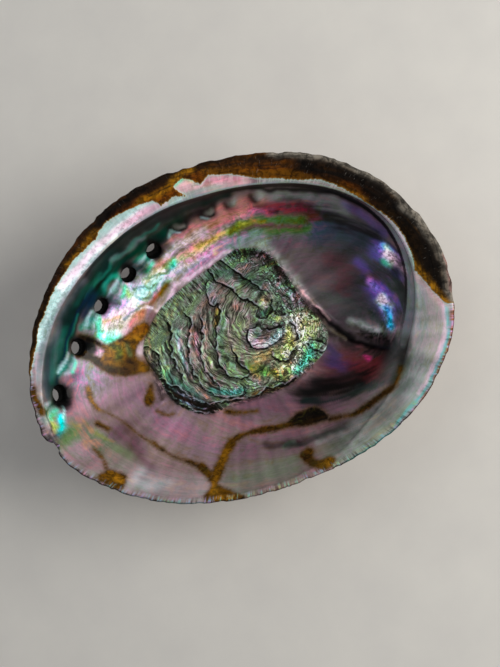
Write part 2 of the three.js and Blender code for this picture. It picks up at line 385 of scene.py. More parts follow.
STAIN_PATCHES = [
    [(105, 348), (112, 343), (120, 339), (127, 334), (136, 325), (147, 322), (150, 330), (141, 341),
     (134, 352), (138, 360), (146, 362), (147, 371), (130, 376), (110, 371), (98, 364), (88, 358),
     (92, 354), (102, 360)],
    [(151, 384), (146, 394), (144, 402), (149, 406), (155, 401), (153, 390)],
    [(203, 497), (210, 488), (214, 478), (220, 486), (232, 491), (248, 499), (230, 504), (207, 504)],
    [(94, 478), (105, 471), (112, 470), (118, 473), (127, 475), (126, 481), (120, 492), (108, 488)],
    [(299, 456), (303, 449), (311, 447), (315, 450), (312, 457), (321, 461), (331, 456), (337, 459),
     (332, 467), (324, 472), (315, 469), (306, 464)],
    [(286, 424), (296, 412), (312, 407), (324, 410), (332, 418), (318, 424), (300, 427)],
]
STAIN_VEINS = [  # half width, then the line
    (4.0, [(78, 352), (90, 357), (100, 365), (112, 371), (128, 374), (146, 369)]),
    (2.6, [(80, 336), (92, 340), (104, 347)]),
    (1.4, [(88, 388), (91, 400), (98, 409)]),
    (-0.2, [(98, 409), (112, 415), (124, 422), (140, 436), (156, 445)]),
    (2.2, [(98, 424), (108, 429)]),
    (1.7, [(154, 443), (167, 453), (177, 458), (191, 462), (203, 468)]),
    (3.2, [(201, 466), (211, 477), (215, 486)]),
    (4.8, [(215, 480), (220, 466), (227, 449), (231, 443)]),
    (2.8, [(230, 442), (245, 433), (274, 428), (296, 423)]),
    (2.3, [(330, 419), (355, 415), (369, 405), (381, 395), (396, 386), (401, 368)]),
    (1.3, [(226, 411), (240, 413), (257, 411)]),
    (1.2, [(158, 411), (166, 416), (174, 414)]),
    (1.3, [(107, 472), (104, 460), (94, 449)]),
    (3.6, [(32, 390), (36, 402), (42, 412)]),
]

TIP_CHIPS = [((51, 450), 3.0), ((37, 436), -2.8)]  # spot and depth, under 0 where the rim stands out

# Relief, in millimetres. What is a size or a shift round a mark is in the frame's pixels.
SCAR_RISE = 0.4
SCAR_STEP = (-0.2, 0.6)
EDGE_WAVER = 2.2
EDGE_WAVER_SIZE = 2.4
EDGE_REACH = 3.0
EDGE_RISE = 0.5
EDGE_RUN = 2.0
EDGE_GROOVE = 0.3
GROOVE_WIDTH = 0.6
LAYER_STEP = 2.3
LAYER_RISE = 0.28
CRINKLE_RISE = 0.12
SCAR_BEAD_RISE = 0.7
SCAR_BEAD_SIZE = 2.2
FUNNEL_DEPTH = 1.7
FUNNEL_SHIFT = (5, 1)
FUNNEL_SIZE = (10, 9)
PLUG_RISE = 1.2
PLUG_SIZE = 6
DIP_DEPTH = 0.7
DIP_SHIFT = (-9, 5)
DIP_SIZE = 5
SWELLING_RISE = 0.9
SWELLING_SHIFT = (6, 3)
SWELLING_SIZE = 7
NOTCH_DEPTH = 1.3
NOTCH_WIDTH = 4
BEAD_RISE = 0.45
BEAD_PLACE = 0.6  # out from the shelf's inner edge
BEAD_WIDTH = 1.1
BEAD_SHELF = (2.5, 6)  # widths of the shelf between which the bead comes in
BAND_RISE = 0.22
BAND_STEP = (-0.2, 0.4)
GRAIN_STRETCH = 0.12
FINE_GRAIN = 0.07
BROAD_GRAIN = 0.08
RIM_CHIPS = 0.9
RIM_SAG = 0.25
TIP_CHIP_SIZE = 5
CHIPPED_SHELF = (0.3, 1.0)  # shares of the way across each part over which the chips come in or fade
CHIPPED_BACK = (0.0, 0.12)
CHIPPED_BOWL = (0.97, 1.0)
BARE_EDGE = (1.5, 4)  # widths of the shelf between which the bowl's own edge is no longer chipped
BOWL_RELIEF_END = (0.94, 1.0)  # shares of the way to the edge over which relief fades
BACK_RELIEF_END = (0.0, 0.06)
HOLE_LEAN_DEG = 37
HOLE_MOUTH = 3.3  # radius in the bowl
HOLE_RADIUS = 2.5  # radius through the back
HOLE_LENGTH = 12.0  # to either side of where it comes out
TURRET_RISE = 1.7
TURRET_SPREAD = 5.0
FAR = 50.0  # stands for a mark that isn't near

# Growth of the back: ribs run round the spire in one widening whorl.
RIBS = 60
WHORL_PITCH = 0.633
RIB_RISE = 0.42
RIB_FULLNESS = 0.8
GROWTH_RISE = 0.35
GROWTH_LINES = 9
CRUST_RISE = 0.8
CRUST_SPREAD = (0.35, 0.75)
REST_FADE = (1.5, 6.0)  # heights between which the back's relief comes in
CLOSED_TURRET = 0.6
RIBBED_REACH = (8, 30)  # distances from the apex between which the ribs come in
WORN_REACH = 10.0
WHORL_WIDTH = 8.0
WHORL_LENGTH = 80.0
RIM_LOOP = 75.0
WILD_SIDE = (225, 290)  # from left to right across the scar, its contours grow wilder


def rounded(line):
    """The line with its corners cut, twice."""
    for _ in range(2):
        ends = np.array(line, float)
        first, last = ends[:-1], ends[1:]
        cut = np.stack([first * 0.75 + last * 0.25, first * 0.25 + last * 0.75], 1).reshape(-1, 2)
        line = [ends[0], *cut, ends[-1]]
    return [tuple(point) for point in line]


def terraces(u, v):
    """How far, in millimetres, each point of the muscle scar is from its focus, along rough contours."""
    flat = np.stack([u, v], 1) * PIXEL
    reach = np.hypot(u - SCAR_FOCUS[0], v - SCAR_FOCUS[1]) * PIXEL
    wild = smoothstep(u, *WILD_SIDE)
    wander = (1.6 + 3.4 * wild) * rough_noise(flat, size=9.0, seed=11)
    return 30 + reach + wander + 0.6 * rough_noise(flat, size=2.6, seed=5, octaves=2)


def growth(plan):
    """The rib each point lies on, its turn round the apex, and its age as a share of the rim's."""
    off = plan - np.array(SPIRE_APEX)
    turn = np.arctan2(off[:, 1], off[:, 0])
    reach = np.maximum(np.hypot(off[:, 0], off[:, 1]), 0.5)
    rib = RIBS * (np.log(reach) - WHORL_PITCH * turn) / (2 * math.pi * WHORL_PITCH)
    bearing = np.arange(360.0)
    rim = rim_radius(bearing)[:, None] * spokes(bearing) - np.array(SPIRE_APEX)
    rim_turn = np.arctan2(rim[:, 1], rim[:, 0])
    rim_reach = np.interp(turn, rim_turn, np.hypot(rim[:, 0], rim[:, 1]), period=2 * math.pi)
    return rib, turn, reach / rim_reach


class Marks:
    """What lies where on the skin: distances and fields that the relief and the finishes share."""

    def __init__(self, skin):
        self.u, self.v = skin.seen()
        self.flat = np.stack([self.u, self.v], 1) * PIXEL
        self.scar = np.where(skin.on_bowl, from_patch(self.u, self.v, rounded(SCAR_OUTLINE)) * PIXEL, FAR)
        self.terrace = terraces(self.u, self.v)
        self.edge, self.edge_side = self.scar_edges()
        self.band = np.where(skin.on_bowl, FAR, from_patch(self.u, self.v, BAND_OUTLINE) * PIXEL)
        self.stain = np.where(skin.on_back, FAR, self.stains())
        self.rib, self.turn, self.age = growth(skin.plan)
        self.from_apex = np.linalg.norm(skin.plan - np.array(SPIRE_APEX), axis=1)
        self.ribbed = smoothstep(self.from_apex, *RIBBED_REACH)
        round_apex = [WHORL_WIDTH * np.cos(self.turn), WHORL_WIDTH * np.sin(self.turn)]
        self.whorl = np.column_stack([*round_apex, WHORL_LENGTH * self.age])
        self.round_rim = spokes(skin.bearing) * RIM_LOOP
        out = [-1.0, skin.shelf * skin.shelf_share]
        self.across = np.select([skin.on_bowl, skin.on_shelf], out, skin.shelf)
        to_rim = skin.rim - np.linalg.norm(skin.plan, axis=1)
        self.to_rim = np.where(skin.on_back | skin.on_lip, 0.0, to_rim)

    def scar_edges(self):
        """Distance from the nearest edge in the scar, in millimetres, and its side: under 0 if raised."""
        u = self.u + EDGE_WAVER * rough_noise(self.flat, EDGE_WAVER_SIZE, seed=81, octaves=2)
        v = self.v + EDGE_WAVER * rough_noise(self.flat, EDGE_WAVER_SIZE, seed=91, octaves=2)
        nearest = np.full(len(u), FAR)
        nearest_side = np.ones(len(u))
        inside = self.scar < EDGE_REACH
        for line in SCAR_EDGES:
            distance, _, side = from_line(u[inside], v[inside], rounded(line))
            closer = distance * PIXEL < nearest[inside]
            nearest[inside] = np.where(closer, distance * PIXEL, nearest[inside])
            nearest_side[inside] = np.where(closer, side, nearest_side[inside])
        return nearest, nearest_side

    def stains(self):
        """Distance from the nearest brown stain, under 0 inside it."""
        nearest = np.full(len(self.u), FAR)
        for outline in STAIN_PATCHES:
            closed = rounded([*outline, outline[0]])[:-1]
            nearest = np.minimum(nearest, from_patch(self.u, self.v, closed) * PIXEL)
        for half_width, line in STAIN_VEINS:
            distance = from_line(self.u, self.v, rounded(line))[0]
            nearest = np.minimum(nearest, (distance - half_width) * PIXEL)
        return nearest

    def from_spot(self, spot):
        return np.hypot(self.u - spot[0], self.v - spot[1])


def scar_relief(marks):
    """Layers with raised edges, fine ripples between them, beads, and the step round the whole scar."""
    inside = smoothstep(-marks.scar, *SCAR_STEP)
    uneven = 0.8 + 0.5 * rough_noise(marks.flat, size=6.0, seed=25)
    layer = (marks.terrace / LAYER_STEP % 1 - 0.5) * uneven
    crinkle = rough_noise(marks.flat, size=1.8, seed=21, octaves=2)
    raised = EDGE_RISE * np.exp(-marks.edge / EDGE_RUN)
    groove = -EDGE_GROOVE * bell(marks.edge, GROOVE_WIDTH)
    height = SCAR_RISE + np.where(marks.edge_side < 0, raised, groove)
    height = height + LAYER_RISE * layer + CRINKLE_RISE * crinkle
    beads = sum(SCAR_BEAD_RISE * bell(marks.from_spot(bead), SCAR_BEAD_SIZE) for bead in SCAR_BEADS)
    return inside * height + beads


def row_relief(marks):
    """Funnels of the open holes, plugs of the closed ones, swellings between, and the notch at the lip."""
    height = np.zeros(len(marks.u))
    for u, v in OPEN_HOLES:
        across = (marks.u - u - FUNNEL_SHIFT[0]) / FUNNEL_SIZE[0]
        down = (marks.v - v - FUNNEL_SHIFT[1]) / FUNNEL_SIZE[1]
        height -= FUNNEL_DEPTH * bell(np.hypot(across, down), 1)
    for u, v in CLOSED_HOLES:
        dip = (u + DIP_SHIFT[0], v + DIP_SHIFT[1])
        height += PLUG_RISE * bell(marks.from_spot((u, v)), PLUG_SIZE)
        height -= DIP_DEPTH * bell(marks.from_spot(dip), DIP_SIZE)
    for (au, av), (bu, bv) in zip(OPEN_HOLES, OPEN_HOLES[1:]):
        between = ((au + bu) / 2 + SWELLING_SHIFT[0], (av + bv) / 2 + SWELLING_SHIFT[1])
        height += SWELLING_RISE * bell(marks.from_spot(between), SWELLING_SIZE)
    return height - NOTCH_DEPTH * bell(from_line(marks.u, marks.v, NOTCH)[0], NOTCH_WIDTH)


def shelf_relief(skin, marks):
    """The bead along the shelf's inner edge, the brown layer's edge and the fine grain across the shelf."""
    from_edge = skin.shelf_share * skin.shelf
    bead = BEAD_RISE * bell(from_edge - BEAD_PLACE, BEAD_WIDTH) * smoothstep(skin.shelf, *BEAD_SHELF)
    layer = BAND_RISE * smoothstep(-marks.band, *BAND_STEP)
    grain = np.column_stack([marks.round_rim, from_edge * GRAIN_STRETCH])
    fine = FINE_GRAIN * lattice_noise(grain, size=0.9, seed=31)
    broad = BROAD_GRAIN * lattice_noise(grain, size=3.0, seed=32)
    return bead + layer + fine + broad


def back_relief(skin, marks):
    """Ribs, growth lines, crusts and the row of turrets, all fading out where the shell rests."""
    points = skin.points
    rib = (0.5 + 0.5 * np.cos(2 * math.pi * marks.rib)) ** RIB_FULLNESS
    rib = rib * (0.7 + 0.4 * lattice_noise(points, size=14.0, seed=41))
    years = np.column_stack([np.cos(marks.turn), np.sin(marks.turn), marks.age * GROWTH_LINES])
    lines = lattice_noise(years, size=0.35, seed=42) + 0.6 * lattice_noise(years, size=0.12, seed=43)
    crust = smoothstep(rough_noise(points, size=12.0, seed=44), *CRUST_SPREAD)
    crust = crust * (0.5 + 0.5 * rough_noise(points, size=1.6, seed=45))
    height = RIB_RISE * rib * marks.ribbed + GROWTH_RISE * lines + CRUST_RISE * crust
    spots = [(spot, 1.0) for spot in OPEN_HOLES] + [(spot, CLOSED_TURRET) for spot in CLOSED_HOLES]
    for spot, share in spots:
        height += share * TURRET_RISE * bell(marks.from_spot(spot) * PIXEL, TURRET_SPREAD)
    return height * smoothstep(points[:, 2], *REST_FADE)


def chip_rim(skin, marks):
    """Draws the rim in by uneven chips, which fade out over the shelf and the back."""
    rough = lattice_noise(marks.round_rim, size=2.4, seed=51)
    rough = rough + lattice_noise(marks.round_rim, size=8.0, seed=52)
    chips = RIM_CHIPS * (0.15 + np.abs(rough) / 2)
    for spot, depth in TIP_CHIPS:
        chips += depth * bell(marks.from_spot(spot), TIP_CHIP_SIZE)
    shelf = smoothstep(skin.shelf_share, *CHIPPED_SHELF)
    back = 1 - smoothstep(skin.back_share, *CHIPPED_BACK)
    bowl = smoothstep(skin.bowl_share, *CHIPPED_BOWL) * (1 - smoothstep(skin.shelf, *BARE_EDGE))
    near = np.select([skin.on_shelf, skin.on_lip, skin.on_back], [shelf, 1.0, back], bowl)
    inwards = -skin.plan / np.maximum(np.linalg.norm(skin.plan, axis=1), 1)[:, None]
    return np.column_stack([inwards * (chips * near)[:, None], -RIM_SAG * np.abs(rough) * near])


def sculpt(skin, marks, normals):
    """The skin's points with all relief added along the normals, in millimetres, kept in the CAD box."""
    bowl = scar_relief(marks) + row_relief(marks)
    bowl = bowl * (1 - smoothstep(skin.bowl_share, *BOWL_RELIEF_END))
    back = back_relief(skin, marks) * smoothstep(skin.back_share, *BACK_RELIEF_END)
    kinds = [skin.on_bowl, skin.on_shelf, skin.on_back]
    height = np.select(kinds, [bowl, shelf_relief(skin, marks), back], 0.0)
    points = skin.points + normals * height[:, None] + chip_rim(skin, marks)
    return np.clip(points, np.array(cad_low) / MM, np.array(cad_high) / MM)


# Colours, and the strokes that lay them on, painted highlights and shade among them: colour, width in
# pixels, strength and line in the frame.
COLOURS = {
    "lilac": (152, 124, 123), "lavender": (146, 114, 130), "rose": (214, 130, 150),
    "blush": (228, 186, 186), "mauve": (110, 82, 94), "silver": (176, 177, 172), "sage": (128, 130, 114),
    "ice": (206, 238, 236), "cream": (240, 232, 204), "white pink": (246, 216, 234),
    "cyan": (60, 226, 230), "mint": (116, 240, 190), "teal": (7, 56, 42), "deep teal": (5, 36, 32),
    "moss": (104, 132, 82), "leaf": (92, 130, 40), "lime": (190, 206, 92), "gold": (222, 176, 74),
    "crimson": (136, 60, 64), "wine": (96, 42, 48), "hot pink": (240, 92, 150), "indigo": (78, 68, 122),
    "umber": (38, 27, 26), "ink": (5, 5, 5), "plum": (94, 87, 90), "slate": (80, 92, 104),
    "dusk": (116, 102, 106), "mist": (152, 168, 170), "violet": (150, 126, 214),
    "azure": (104, 180, 248), "orchid": (228, 160, 244), "navy": (16, 36, 60), "olive": (136, 133, 113),
    "jade": (84, 112, 93), "tan": (170, 152, 130), "sea": (60, 164, 140), "straw": (214, 220, 130),
    "bark": (46, 27, 12), "amber": (96, 63, 9), "honey": (172, 118, 20), "char": (17, 12, 9),
    "copper": (126, 66, 6), "ash": (132, 126, 116), "pewter": (104, 112, 104), "salmon": (230, 150, 136),
}
BOWL_STROKES = [
    # lower field
    ("lavender", 22, 0.7, [(80, 385), (120, 390), (150, 400), (175, 420)]),
    ("rose", 16, 0.06, [(170, 425), (200, 440), (230, 432), (265, 442)]),
    ("lavender", 12, 0.5, [(195, 445), (212, 455)]),
    ("mauve", 12, 0.7, [(120, 428), (136, 442), (146, 468)]),
    ("wine", 6.5, 0.3, [(127, 428), (139, 446), (146, 470)]),
    ("moss", 11, 0.6, [(72, 430), (92, 436), (112, 446), (126, 456)]),
    ("lime", 3, 0.3, [(60, 448), (72, 436), (80, 424)]),
    ("salmon", 4, 0.15, [(78, 428), (86, 438), (98, 442)]),
    ("gold", 2.2, 0.2, [(84, 420), (96, 432), (112, 440)]),
    ("silver", 14, 0.5, [(60, 455), (80, 462), (110, 478), (150, 484), (190, 492), (225, 492)]),
    ("lilac", 8, 0.8, [(66, 452), (84, 462), (100, 466)]),
    ("ice", 7, 0.22, [(138, 478), (150, 486), (162, 484)]),
    ("sage", 15, 0.9, [(235, 482), (262, 476), (290, 468)]),
    ("mauve", 15, 0.6, [(240, 450), (270, 446), (300, 436)]),
    ("sage", 14, 0.8, [(332, 458), (362, 442), (384, 424)]),
    ("silver", 12, 0.7, [(384, 430), (400, 408), (412, 380)]),
    ("sage", 14, 0.7, [(338, 446), (362, 428), (384, 408)]),
    ("mauve", 18, 0.8, [(250, 408), (290, 400), (330, 400)]),
    ("pewter", 6, 0.8, [(316, 436), (330, 436), (342, 432)]),
    ("umber", 4, 0.7, [(266, 444), (282, 446), (300, 443)]),
    ("jade", 2.5, 0.4, [(285, 449), (296, 442)]),
    ("umber", 3, 0.6, [(300, 441), (320, 434), (346, 428)]),
    ("deep teal", 2.5, 0.6, [(288, 448), (304, 444), (318, 438)]),
    ("umber", 3, 0.6, [(344, 424), (362, 416), (380, 404)]),
    ("silver", 2.5, 0.4, [(318, 442), (338, 437), (360, 426)]),
    ("wine", 20, 0.9, [(335, 362), (362, 366), (385, 366)]),
    ("umber", 13, 0.95, [(300, 392), (340, 380), (380, 374), (402, 350)]),
    ("ink", 7, 0.9, [(306, 390), (330, 386), (358, 385), (377, 378)]),
    ("deep teal", 6, 0.9, [(300, 404), (330, 402), (352, 396), (378, 384)]),
    ("mauve", 7, 0.5, [(340, 412), (365, 404), (388, 388)]),
    ("indigo", 9, 0.7, [(328, 348), (335, 356), (342, 362)]),
    ("crimson", 9, 0.6, [(348, 350), (358, 362), (375, 368)]),
    # The hot pink spot is a painted highlight that glows a little.
    ("hot pink", 2.5, 0.9, [(364, 357), (367, 359)]),
    # Painted shade at the right, under the shelf's edge.
    ("ink", 8, 0.9, [(402, 344), (404, 360), (398, 376)]),
    ("pewter", 8, 0.7, [(404, 372), (394, 392), (376, 410), (352, 426)]),
    ("mauve", 4, 0.6, [(330, 426), (356, 420), (376, 406)]),
    # spire hollow
    ("plum", 44, 1.0, [(335, 232), (372, 290), (350, 300)]),
    ("slate", 15, 0.9, [(320, 228), (345, 230), (372, 240), (385, 252)]),
    ("dusk", 12, 0.8, [(275, 240), (295, 258), (318, 290), (335, 315)]),
    ("crimson", 9, 0.3, [(330, 255), (345, 262), (340, 285)]),
    ("pewter", 9, 0.5, [(318, 292), (335, 300), (352, 308)]),
    ("silver", 7, 0.8, [(262, 195), (300, 195), (330, 199), (345, 207)]),
    ("umber", 4, 0.6, [(285, 198), (300, 200)]),
    ("umber", 7, 0.8, [(302, 211), (335, 218), (372, 234), (395, 252)]),
    ("violet", 4, 0.4, [(346, 205), (368, 218), (386, 232)]),
    # The violet, azure, ice, orchid, white pink, mint and cyan strokes that follow are painted highlights:
    # two bright reflections on the hollow's far wall.
    ("violet", 8, 0.7, [(376, 254), (384, 250), (394, 264), (400, 270)]),
    ("violet", 5, 0.9, [(380, 247), (388, 262)]),
    ("azure", 3.5, 1.0, [(384, 245), (390, 252)]),
    ("ice", 3, 1.0, [(387, 246), (390, 254)]),
    ("orchid", 5, 1.0, [(386, 256), (397, 263)]),
    ("white pink", 4, 1.0, [(386, 254), (393, 260)]),
    ("mint", 3, 0.9, [(382, 260), (392, 266)]),
    ("blush", 5, 0.7, [(394, 264), (405, 271)]),
    ("violet", 5, 0.6, [(358, 264), (364, 272)]),
    ("orchid", 3, 0.9, [(370, 280), (376, 288)]),
    ("violet", 6, 0.9, [(373, 286), (384, 293)]),
    ("deep teal", 10, 0.8, [(396, 276), (404, 290), (406, 308)]),
    ("violet", 9, 0.9, [(380, 294), (390, 312)]),
    ("ice", 5, 1.0, [(383, 300), (388, 309)]),
    ("white pink", 4, 0.95, [(382, 299), (389, 305)]),
    ("azure", 4, 1.0, [(388, 309), (391, 316), (391, 325)]),
    ("cyan", 2.5, 0.6, [(392, 318), (391, 326)]),
    ("teal", 6, 0.7, [(378, 316), (384, 332)]),
    ("pewter", 5, 0.3, [(394, 282), (401, 300), (403, 322)]),
    # Painted highlights: a soft silver streak by the pit, and a silvery strip with glints beside the scar.
    ("silver", 4, 1.0, [(350, 320), (362, 323), (376, 329)]),
    ("silver", 7, 0.6, [(262, 246), (276, 258), (288, 274), (300, 290)]),
    ("umber", 6, 0.9, [(316, 316), (332, 332), (350, 342), (372, 348), (392, 350)]),
    # Painted shade in the pit at the spire's apex.
    ("ink", 6, 0.95, [(368, 332), (380, 338), (390, 344), (402, 345)]),
    ("ink", 2.5, 0.95, [(314, 308), (326, 320), (341, 332), (355, 341), (370, 347), (390, 350)]),
    ("blush", 1.4, 0.7, [(298, 288), (308, 298), (318, 309), (328, 319)]),
    ("tan", 1.2, 0.25, [(322, 320), (334, 332), (346, 339)]),
    # pearly field: its whites, creams and bright mint are partly painted highlight, which glows a little
    ("blush", 22, 0.7, [(108, 340), (130, 305), (160, 275), (195, 250)]),
    ("cream", 10, 0.9, [(104, 328), (118, 323), (130, 317)]),
    ("white pink", 9, 1.0, [(112, 317), (120, 308), (132, 303)]),
    ("gold", 2.5, 0.7, [(104, 322), (114, 320), (122, 318)]),
    ("ice", 10, 1.0, [(136, 297), (148, 288), (162, 278)]),
    ("cream", 6, 0.9, [(146, 280), (156, 274), (166, 270)]),
    ("pewter", 1.6, 0.8, [(134, 290), (143, 286), (150, 290), (157, 283)]),
    ("pewter", 1.6, 0.8, [(140, 299), (150, 296), (158, 288)]),
    ("copper", 1.8, 0.7, [(144, 272), (154, 266), (166, 262)]),
    ("bark", 1.2, 0.6, [(146, 278), (154, 274), (164, 274)]),
    ("lime", 3.5, 0.8, [(124, 288), (128, 296)]),
    ("leaf", 3.5, 0.85, [(166, 264), (171, 272), (170, 282), (162, 292)]),
    ("copper", 4, 0.9, [(147, 306), (158, 295), (168, 286)]),
    ("salmon", 6, 0.95, [(134, 323), (142, 316), (149, 310)]),
    ("lavender", 4, 0.9, [(150, 308), (153, 315)]),
    ("white pink", 1.4, 0.9, [(138, 309), (147, 305), (154, 309)]),
    ("umber", 1.2, 0.6, [(126, 319), (137, 309), (144, 304)]),
    ("mint", 6, 0.95, [(97, 334), (106, 338), (113, 341)]),
    ("ice", 4, 0.8, [(104, 334), (113, 333)]),
    ("umber", 4, 0.7, [(112, 303), (118, 306)]),
    ("blush", 6, 0.9, [(96, 349), (103, 355)]),
    ("white pink", 5, 0.9, [(139, 338), (142, 350)]),
    ("salmon", 9, 0.9, [(160, 262), (182, 246), (206, 230), (236, 213), (258, 204)]),
    ("white pink", 4, 0.9, [(164, 256), (184, 242), (204, 231)]),
    ("mauve", 2.5, 0.7, [(172, 257), (182, 250), (190, 246)]),
    ("lime", 3.5, 0.5, [(178, 261), (194, 251), (214, 242)]),
    ("mint", 4, 0.95, [(173, 263), (176, 273)]),
    ("cyan", 2, 0.8, [(175, 268), (177, 274)]),
    ("white pink", 5, 0.9, [(174, 277), (192, 263), (216, 249)]),
    ("lavender", 3, 0.6, [(180, 276), (196, 264), (222, 250)]),
    ("rose", 3, 0.8, [(186, 262), (206, 250), (230, 239)]),
    ("salmon", 4, 0.6, [(188, 252), (210, 240), (232, 230)]),
    ("gold", 3, 0.6, [(196, 246), (215, 236), (234, 228), (252, 222)]),
    ("crimson", 7, 0.8, [(258, 208), (284, 208), (312, 216)]),
    ("leaf", 5, 0.7, [(232, 231), (250, 223), (272, 219), (300, 219)]),
    ("moss", 2.5, 0.7, [(255, 221), (285, 220)]),
    ("gold", 2.5, 0.6, [(242, 226), (264, 223)]),
    ("crimson", 4, 0.7, [(240, 232), (270, 226), (298, 226)]),
    ("leaf", 3.5, 0.75, [(250, 234), (276, 231), (308, 228)]),
    ("rose", 3, 0.7, [(250, 212), (270, 211)]),
    ("umber", 2.5, 0.8, [(268, 211), (276, 212)]),
    ("silver", 6, 0.8, [(222, 252), (240, 243), (262, 240)]),
    ("lavender", 4.5, 0.8, [(146, 334), (156, 312)]),
    ("white pink", 2.0, 1.0, [(156, 311), (184, 281), (206, 265), (230, 250)]),
    # wall under the shelf: its dark teal is partly painted shade from the shelf above, with thin painted
    # highlights
    ("teal", 11, 1.0, [(60, 394), (63, 362), (75, 327), (95, 293), (121, 264), (150, 241), (182, 222)]),
    ("teal", 7, 0.9, [(57, 380), (58, 356), (68, 322), (88, 288), (116, 258)]),
    ("pewter", 7, 0.8, [(46, 396), (50, 360), (60, 324), (78, 290), (98, 264)]),
    ("slate", 5, 0.7, [(46, 396), (50, 360), (60, 324), (78, 290), (98, 264)]),
    ("deep teal", 5, 0.85, [(64, 336), (78, 302), (96, 274), (120, 250)]),
    ("deep teal", 6, 0.6, [(52, 392), (57, 358), (66, 326), (84, 290)]),
    ("sea", 3, 0.2, [(52, 380), (56, 352), (64, 328)]),
    ("sea", 2.5, 0.35, [(74, 306), (84, 290), (98, 274)]),
    ("mist", 2, 0.5, [(112, 262), (128, 248), (146, 238)]),
    ("deep teal", 5.5, 0.9, [(88, 276), (104, 258), (120, 244), (147, 225), (185, 206), (226, 194)]),
    ("deep teal", 6, 0.8, [(66, 322), (86, 286), (112, 255), (144, 230), (184, 209), (225, 196)]),
    ("umber", 4, 0.5, [(118, 246), (145, 227), (175, 212)]),
    ("sea", 1.4, 0.3, [(84, 300), (104, 270), (130, 246), (160, 226)]),
    ("ink", 3, 0.6, [(76, 314), (90, 294), (102, 282)]),
    ("navy", 1.8, 0.7, [(58, 386), (62, 352), (73, 320), (92, 288)]),
    ("ink", 1.5, 0.7, [(64, 372), (70, 338), (84, 306), (102, 280)]),
    ("sea", 1.5, 0.3, [(61, 378), (66, 346), (77, 316)]),
    ("navy", 5, 0.8, [(94, 296), (88, 306), (84, 318)]),
    ("sea", 3, 0.8, [(104, 294), (106, 282), (114, 274), (122, 284)]),
    ("mist", 2, 0.8, [(112, 290), (118, 284)]),
    ("sea", 3, 0.8, [(136, 262), (142, 254), (148, 258)]),
    ("ice", 2, 0.8, [(170, 238), (174, 232)]),
    ("sea", 3, 0.7, [(80, 330), (88, 322), (96, 324)]),
    # Painted shade under the shelf's inner edge.
    ("ink", 2.2, 0.9, [(84, 274), (107, 250), (139, 225), (180, 204), (224, 192)]),
    ("ink", 3, 0.9, [(224, 192), (271, 187), (319, 190), (351, 199), (382, 218), (404, 243), (414, 268),
                     (416, 300)]),
    ("ink", 5, 0.9, [(184, 222), (196, 213), (215, 205)]),
    # lip at the left
    ("lilac", 8, 0.7, [(72, 382), (84, 392)]),
    # The lime, cyan and ice marks at the notch are painted highlights.
    ("lime", 6, 0.8, [(50, 416), (54, 428)]),
    ("cyan", 3.5, 1.0, [(63, 416), (63, 426), (60, 434)]),
    ("navy", 3, 0.8, [(50, 438), (56, 436), (62, 436)]),
    ("ink", 5, 0.9, [(58, 402), (68, 405)]),
    ("moss", 7, 0.7, [(56, 446), (70, 440), (76, 424)]),
    ("deep teal", 4, 0.8, [(48, 438), (54, 444), (56, 454)]),
    ("ice", 1.2, 0.9, [(64, 402), (66, 410), (65, 418)]),
    ("ash", 4, 0.85, [(42, 418), (45, 428), (45, 438)]),
    ("ink", 1.4, 0.8, [(47, 414), (50, 426), (48, 436)]),
    ("bark", 2.5, 0.9, [(40, 438), (46, 442)]),
    ("navy", 2.5, 0.9, [(48, 444), (50, 450)]),
]
